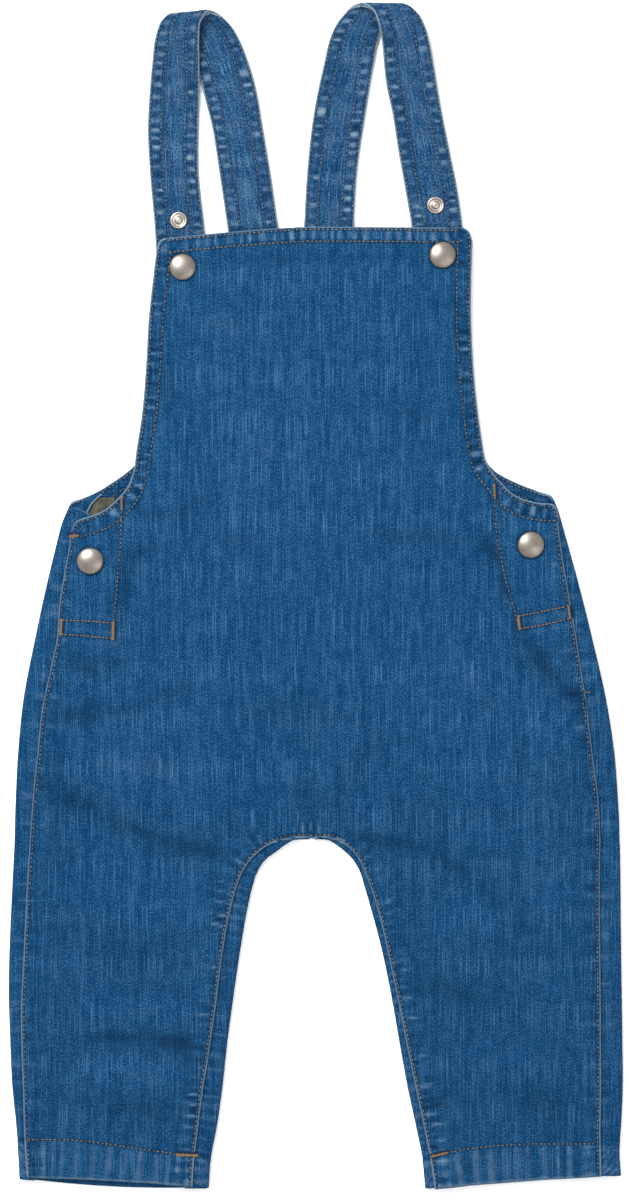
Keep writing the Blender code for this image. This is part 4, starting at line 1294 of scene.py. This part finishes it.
def turned_piece(name, profile, place, material):
    """A round piece: the profile, rounded by cubics, carried round an upright axis and closed at
    its foot and top. A point is the radius at its height, turned by its angle."""
    rows = smooth_rows(profile, SNAP_STEP)
    rings = np.maximum(rows[:-1], (0.0, -np.inf))
    angles = np.arange(SNAP_SIDES) * 2 * math.pi / SNAP_SIDES
    x, y = rings[:, :1] * np.cos(angles), rings[:, :1] * np.sin(angles)
    points = np.stack([x, y, rings[:, 1:] + 0.0 * angles], axis=-1).reshape(-1, 3)
    ends = [(0.0, 0.0, rings[0, 1]), (0.0, 0.0, rows[-1, 1])]
    count = len(points)
    index = np.arange(count).reshape(len(rings), SNAP_SIDES)
    index = np.concatenate([index, index[:, :1]], axis=1)
    faces = quads_of(index, True)[:, ::-1].tolist()
    faces += [[int(b), int(a), count] for a, b in zip(index[0, :-1], index[0, 1:])]
    faces += [[int(a), int(b), count + 1] for a, b in zip(index[-1, :-1], index[-1, 1:])]
    return new_piece(name, np.concatenate([points, ends]) + place, faces, {}, material)


def plated(name, shade, dull, metallic, roughness):
    """Plated metal, brushed and a little scuffed: two shades in soft cloudy patches, with fine
    scratches that change how it shines."""
    finish = Finish(name)
    where = finish.read(finish.add("ShaderNodeTexCoord"), "Object")
    cloud = finish.noise(where, (320.0, 320.0, 320.0), 3.0)
    scratches = finish.noise(where, (2600.0, 700.0, 900.0), 3.0, 0.7)
    scuffed = (cloud * 1.6 - 0.3 + (scratches - 0.5) * 0.4).clamp()
    colour = finish.mix(scuffed, (*shade, 1.0), (*dull, 1.0))
    shine = roughness + (scratches - 0.5) * 0.16 + (cloud - 0.5) * 0.1
    relief = finish.bump(scratches, 0.00003, 0.5)
    return finish.finish(Base_Color=colour, Metallic=metallic, Roughness=shine, Normal=relief)


NICKEL = plated("brushed_nickel", linear(136, 130, 123), linear(106, 99, 92), 1.0, 0.36)
PEARL = plated("pearl_plate", linear(176, 170, 164), linear(136, 126, 117), 0.9, 0.30)
for node, place in CAPS.items():
    piece = turned_piece(f"{node}_nickel", CAP_PROFILE, place, NICKEL)
    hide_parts(node)
for node, place in STUDS.items():
    piece = turned_piece(f"{node}_pearl", STUD_PROFILE, place, PEARL)
    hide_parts(node)

# ---------------------------------------------------------------------------------------------
# Stitching: cotton thread, olive grey, and tan at the openings, hems and tacks, in rows of
# lockstitch that dip into the cloth between one stitch and the next, with a dark oval of
# painted shadow where each dips.
# ---------------------------------------------------------------------------------------------
PITCH = 2.15  # from one stitch to the next
STITCH = 1.5  # length of what shows of one
THREAD = 0.27  # radius
RING_SIDES = 5
SHADOW_OVAL_SIDES = 8
SHADOW_OVAL_SIZE = (0.78, 0.50)  # half the length and width of the painted shadow oval at each needle hole
SHADOW_OVAL_PROUD = 0.05  # how far the painted shadow ovals, rows, tacks and the back's rows stand off the cloth
PROUD = 0.08
TACK_PROUD = 0.1
BACK_PROUD = 0.05
TACK_PITCH = 0.55
BESIDE = 1.4  # how far from a row the cloth is level again
UP = np.array([0.0, 0.0, 1.0])


def stitch_shape():
    """One stitch as rings round a line that bows up in its middle and dips at its ends, where it
    narrows: offsets along, across and up, and its faces."""
    along = np.array([-1.0, -0.75, 0.0, 0.75, 1.0])
    size = np.array([0.35, 0.85, 1.0, 0.85, 0.35])
    rise = np.array([-0.9, 0.1, 0.55, 0.1, -0.9])
    angles = np.arange(RING_SIDES) * 2 * math.pi / RING_SIDES + math.pi / 2
    shape = np.stack(
        [
            np.repeat(along[:, None] * STITCH / 2, RING_SIDES, axis=1),
            THREAD * size[:, None] * np.cos(angles),
            THREAD * (size[:, None] * np.sin(angles) + rise[:, None]),
        ],
        axis=-1,
    ).reshape(-1, 3)
    index = np.arange(len(shape)).reshape(len(along), RING_SIDES)
    index = np.concatenate([index, index[:, :1]], axis=1)
    quads = quads_of(index, False)
    triangles = np.concatenate([quads[:, [0, 1, 2]], quads[:, [0, 2, 3]]])
    fan = np.array([(0, 1, 2), (0, 2, 3), (0, 3, 4)])
    return shape, np.concatenate([triangles, fan[:, ::-1], fan + len(shape) - RING_SIDES])


def spaced(line, pitch, seed):
    """Both ends of each stitch along a line: one to a pitch, a little uneven."""
    steps = np.linalg.norm(np.diff(line, axis=0), axis=1)
    along = np.concatenate([[0.0], np.cumsum(steps)])
    rng = np.random.default_rng(seed)
    middles = np.arange(pitch / 2, along[-1] - pitch / 2, pitch)
    middles = middles + rng.uniform(-0.12, 0.12, len(middles)) * pitch
    half = STITCH / 2 * rng.uniform(0.85, 1.1, len(middles))
    slip = rng.uniform(-0.09, 0.09, (2, len(middles)))
    ends = []
    for sign, off in ((-1.0, slip[0]), (1.0, slip[1])):
        place = middles + sign * half
        x, y = (np.interp(place, along, line[:, k]) for k in range(2))
        ends.append(np.column_stack([x + off, y + off]))
    return ends, rng.uniform(0.0, 1.0, len(middles))


def stitches(first, last, up):
    """Stitches between first and last points, in millimetres, laid on cloth that faces up."""
    shape, faces = stitch_shape()
    run = last - first
    length = np.linalg.norm(run, axis=1, keepdims=True)
    ahead = run / length
    across = np.cross(up, ahead)
    across /= np.linalg.norm(across, axis=1, keepdims=True)
    above = np.cross(ahead, across)
    stretch = (length / STITCH)[:, None]
    points = (
        (first + last)[:, None] / 2
        + ahead[:, None] * shape[None, :, :1] * stretch
        + across[:, None] * shape[None, :, 1:2]
        + above[:, None] * shape[None, :, 2:]
    )
    numbers = faces[None] + (np.arange(len(points)) * len(shape))[:, None, None]
    return points.reshape(-1, 3), numbers.reshape(-1, 3), len(shape)


def thread_and_shadow_material(name):
    """Spun cotton: its tone from the stitch, olive grey to tan, a little fuzzy and uneven. At
    tone 0 it is the dark navy of the painted shadow ovals.
    """
    finish = Finish(name)
    tone = finish.read(finish.add("ShaderNodeAttribute", attribute_name="tone"), "Fac")
    where = finish.read(finish.add("ShaderNodeTexCoord"), "Object")
    fuzz = finish.noise(where, (2600.0, 2600.0, 2600.0), 2.0)
    ramp = finish.add(
        "ShaderNodeValToRGB",
        {"Fac": (tone + (fuzz - 0.5) * 0.12).clamp()},
        stops=[
            # Tone 0: the painted shadow of the ovals at the needle holes.
            (0.0, dye(8, 44, 82)),
            (0.12, dye(84, 100, 112)),
            (0.40, dye(138, 144, 136)),
            (0.62, dye(162, 152, 126)),
            (0.80, dye(178, 144, 98)),
            (1.0, dye(190, 126, 62)),
        ],
    )
    relief = finish.bump(fuzz, 0.0001)
    return finish.finish(
        Base_Color=finish.read(ramp, "Color"), Roughness=0.8, Normal=relief, Specular_IOR_Level=0.12
    )


THREAD_AND_SHADOW = thread_and_shadow_material("sewing_cotton_and_painted_shadow")


def stitch_shadow_ovals(first, last, up):
    """Painted shadow past each stitch's end, where the thread dips into its needle hole: a dark
    flat oval just over the cloth.
    """
    run = last - first
    ahead = run / np.linalg.norm(run, axis=1, keepdims=True)
    across = np.cross(up, ahead)
    angles = (np.arange(SHADOW_OVAL_SIDES) * 2 * math.pi / SHADOW_OVAL_SIDES)[:, None]
    middle = (last + ahead * (PITCH - STITCH) / 2 + up * SHADOW_OVAL_PROUD)[:, None]
    long, wide = np.cos(angles) * SHADOW_OVAL_SIZE[0], np.sin(angles) * SHADOW_OVAL_SIZE[1]
    ring = ahead[:, None] * long + across[:, None] * wide
    fan = np.array([(0, k, k + 1) for k in range(1, SHADOW_OVAL_SIDES - 1)])
    numbers = fan[None] + (np.arange(len(first)) * SHADOW_OVAL_SIDES)[:, None, None]
    return (middle + ring).reshape(-1, 3), numbers.reshape(-1, 3)


def stitched_piece(name, runs):
    """One mesh of all the stitches in runs of first ends, last ends, the way up and tones, with
    the dark oval of painted shadow beside each of them."""
    starts, ends, ups, tones = (np.concatenate(part) for part in zip(*runs))
    points, faces, each = stitches(starts, ends, ups)
    shadow_ovals, shadow_oval_faces = stitch_shadow_ovals(starts, ends, ups)
    # Tone 0 gives each oval the dark navy of painted shadow.
    shades = np.concatenate([np.repeat(tones, each), np.zeros(len(shadow_ovals))])
    all_faces = np.concatenate([faces, shadow_oval_faces + len(points)]).tolist()
    piece = new_piece(name, np.concatenate([points, shadow_ovals]), all_faces, {"tone": shades}, THREAD_AND_SHADOW)


def resting_height(flat):
    """Height at which a stitch lies on the front: over the dent that its row makes."""
    height = front_surface(flat)[0]
    for shift in ((BESIDE, 0.0), (0.0, BESIDE)):
        level = (front_surface(flat + shift)[0] + front_surface(flat - shift)[0]) / 2.0
        height = np.maximum(height, level)
    return height


def laid_run(flats, heights, tones):
    """A run of stitches from the first and last ends' places and heights."""
    first, last = (np.column_stack(end) for end in zip(flats, heights))
    return first, last, np.tile(UP, (len(first), 1)), tones


def front_run(line, seed, low, high, pitch=PITCH):
    """A row on the front along a line, with tones between low and high."""
    flats, chance = spaced(line, pitch, seed)
    return laid_run(flats, [resting_height(flat) + PROUD for flat in flats], low + (high - low) * chance)


def zigzag(start, end, width, seed):
    """A bar tack on the front: close stitches across a short line."""
    start, end = np.array(start), np.array(end)
    run = end - start
    length = np.linalg.norm(run)
    side = np.array([-run[1], run[0]]) / length * width / 2
    count = max(int(length / TACK_PITCH), 3)
    part = (np.arange(count) + 0.5)[:, None] / count
    rng = np.random.default_rng(seed)
    jitter = rng.uniform(-0.12, 0.12, (count, 2))
    flats = (start + run * part - side + jitter, start + run * part + side - jitter)
    heights = [resting_height(flat) + TACK_PROUD for flat in flats]
    return laid_run(flats, heights, rng.uniform(0.66, 0.95, count))


def hem_stitches(side):
    """The hem's row of stitches, from the side seam to the inseam."""
    line = smooth_rows(HEM_ROWS[side], 1.0)
    half = halves[side]
    outer, inner = (np.interp(-line[:, 1], -half[:, k + 1], half[:, k]) for k in (0, 2))
    within = (line[:, 0] - outer) * (line[:, 0] - inner) < 0.0
    return line[within][1:-1]


FACING_ENDS = {"left": (-119.6, 30.4), "right": (120.6, 38.4)}  # of the facings' rows, at the sides
TACKS = [
    # start, end, width
    ((-126.9, -11.0), (-127.3, -19.2), 1.5),
    ((-101.0, -12.2), (-101.2, -21.6), 1.5),
    ((-123.0, 30.2), (-118.2, 30.6), 1.6),
    ((-96.8, 50.6), (-96.8, 43.2), 1.2),
    ((101.2, -9.2), (102.0, -16.4), 1.5),
    ((126.2, -4.2), (127.2, -10.8), 1.2),
    ((89.3, 56.6), (89.5, 49.0), 1.1),
    ((-69.6, -278.5), (-58.6, -278.9), 1.5),
    ((57.6, -279.4), (66.0, -277.4), 1.2),
]
LOOSE_END = [(133.0, -45.6), (134.6, -47.3), (136.6, -47.9), (138.4, -47.2)]

front_rows = []
for number, (side, sign) in enumerate(SIDES.items()):
    side_line = inset(edges[side], SIDE_ROW, -sign)[1:-1]
    width = facing_width(armholes[side][:, 1])[:, None]
    facing_line = np.concatenate([inset(armholes[side], width, -sign)[4:], [FACING_ENDS[side]]])
    front_rows.append(front_run(side_line, 500 + number, 0.1, 0.55))
    front_rows.append(front_run(facing_line, 510 + number, 0.15, 0.58))
    front_rows.append(front_run(placket[side], 520 + number, 0.15, 0.6))
    for line in boxes[side]:
        front_rows.append(front_run(line, 530 + number, 0.60, 0.88, 1.85))
    front_rows.append(front_run(hem_stitches(side), 540 + number, 0.2, 0.75))
front_rows.append(front_run(inset(arch, INSEAM_ROW, 1.0)[1:-1], 550, 0.15, 0.65))
for number, distance in enumerate((EDGE_ROW, FACING_ROW)):
    front_rows.append(front_run(inset(top_edge, distance, -1.0)[2:-2], 560 + number, 0.3, 0.75))
for number, (start, end, width) in enumerate(TACKS):
    front_rows.append(zigzag(start, end, width, 580 + number))
front_rows.append(front_run(smooth_rows(LOOSE_END, 0.5), 595, 0.3, 0.4, 1.3))
stitched_piece("front_stitches_and_shadows", front_rows)


def strap_run(strap, face, distance, seed):
    """A row on a face of a strap, a distance from its inner edge, or its outer one if less than
    0: spaced on a straight line of the strap's length, and then laid along it."""
    line = np.column_stack([strap.along[1:-1], 0.0 * strap.along[1:-1]])
    flats, chance = spaced(line, PITCH, seed)
    laid = []
    for along, slip in (flat.T for flat in flats):
        width = np.interp(along, strap.along, strap.width)
        across = np.where(distance > 0, distance, width + distance) + slip
        laid.append(strap.at(along, across, face)[0])
    way_up = [np.interp(flats[0][:, 0], strap.along, strap.up[:, k]) for k in range(3)]
    return (*laid, np.stack(way_up, axis=-1) * face, 0.08 + 0.34 * chance)


strap_rows = []
for strap in straps.values():
    for face in (1, -1):
        for row, distance in enumerate((*STRAP_ROWS, -STRAP_ROWS[1], -STRAP_ROWS[0])):
            strap_rows.append(strap_run(strap, face, distance, strap.seed + 40 + row + face * 5))
stitched_piece("strap_stitches_and_shadows", strap_rows)

back_rows = []
for number, (side, sign) in enumerate(SIDES.items()):
    for distance in (EDGE_ROW, BACK_FACING_ROW):
        flats, chance = spaced(inset(back_armholes[side], distance, -sign)[:-1], PITCH, 570 + number)
        heights = [np.full(len(flat), CLOTH + BACK_PROUD) for flat in flats]
        back_rows.append(laid_run(flats, heights, 0.2 + 0.45 * chance))
stitched_piece("back_stitches_and_shadows", back_rows)
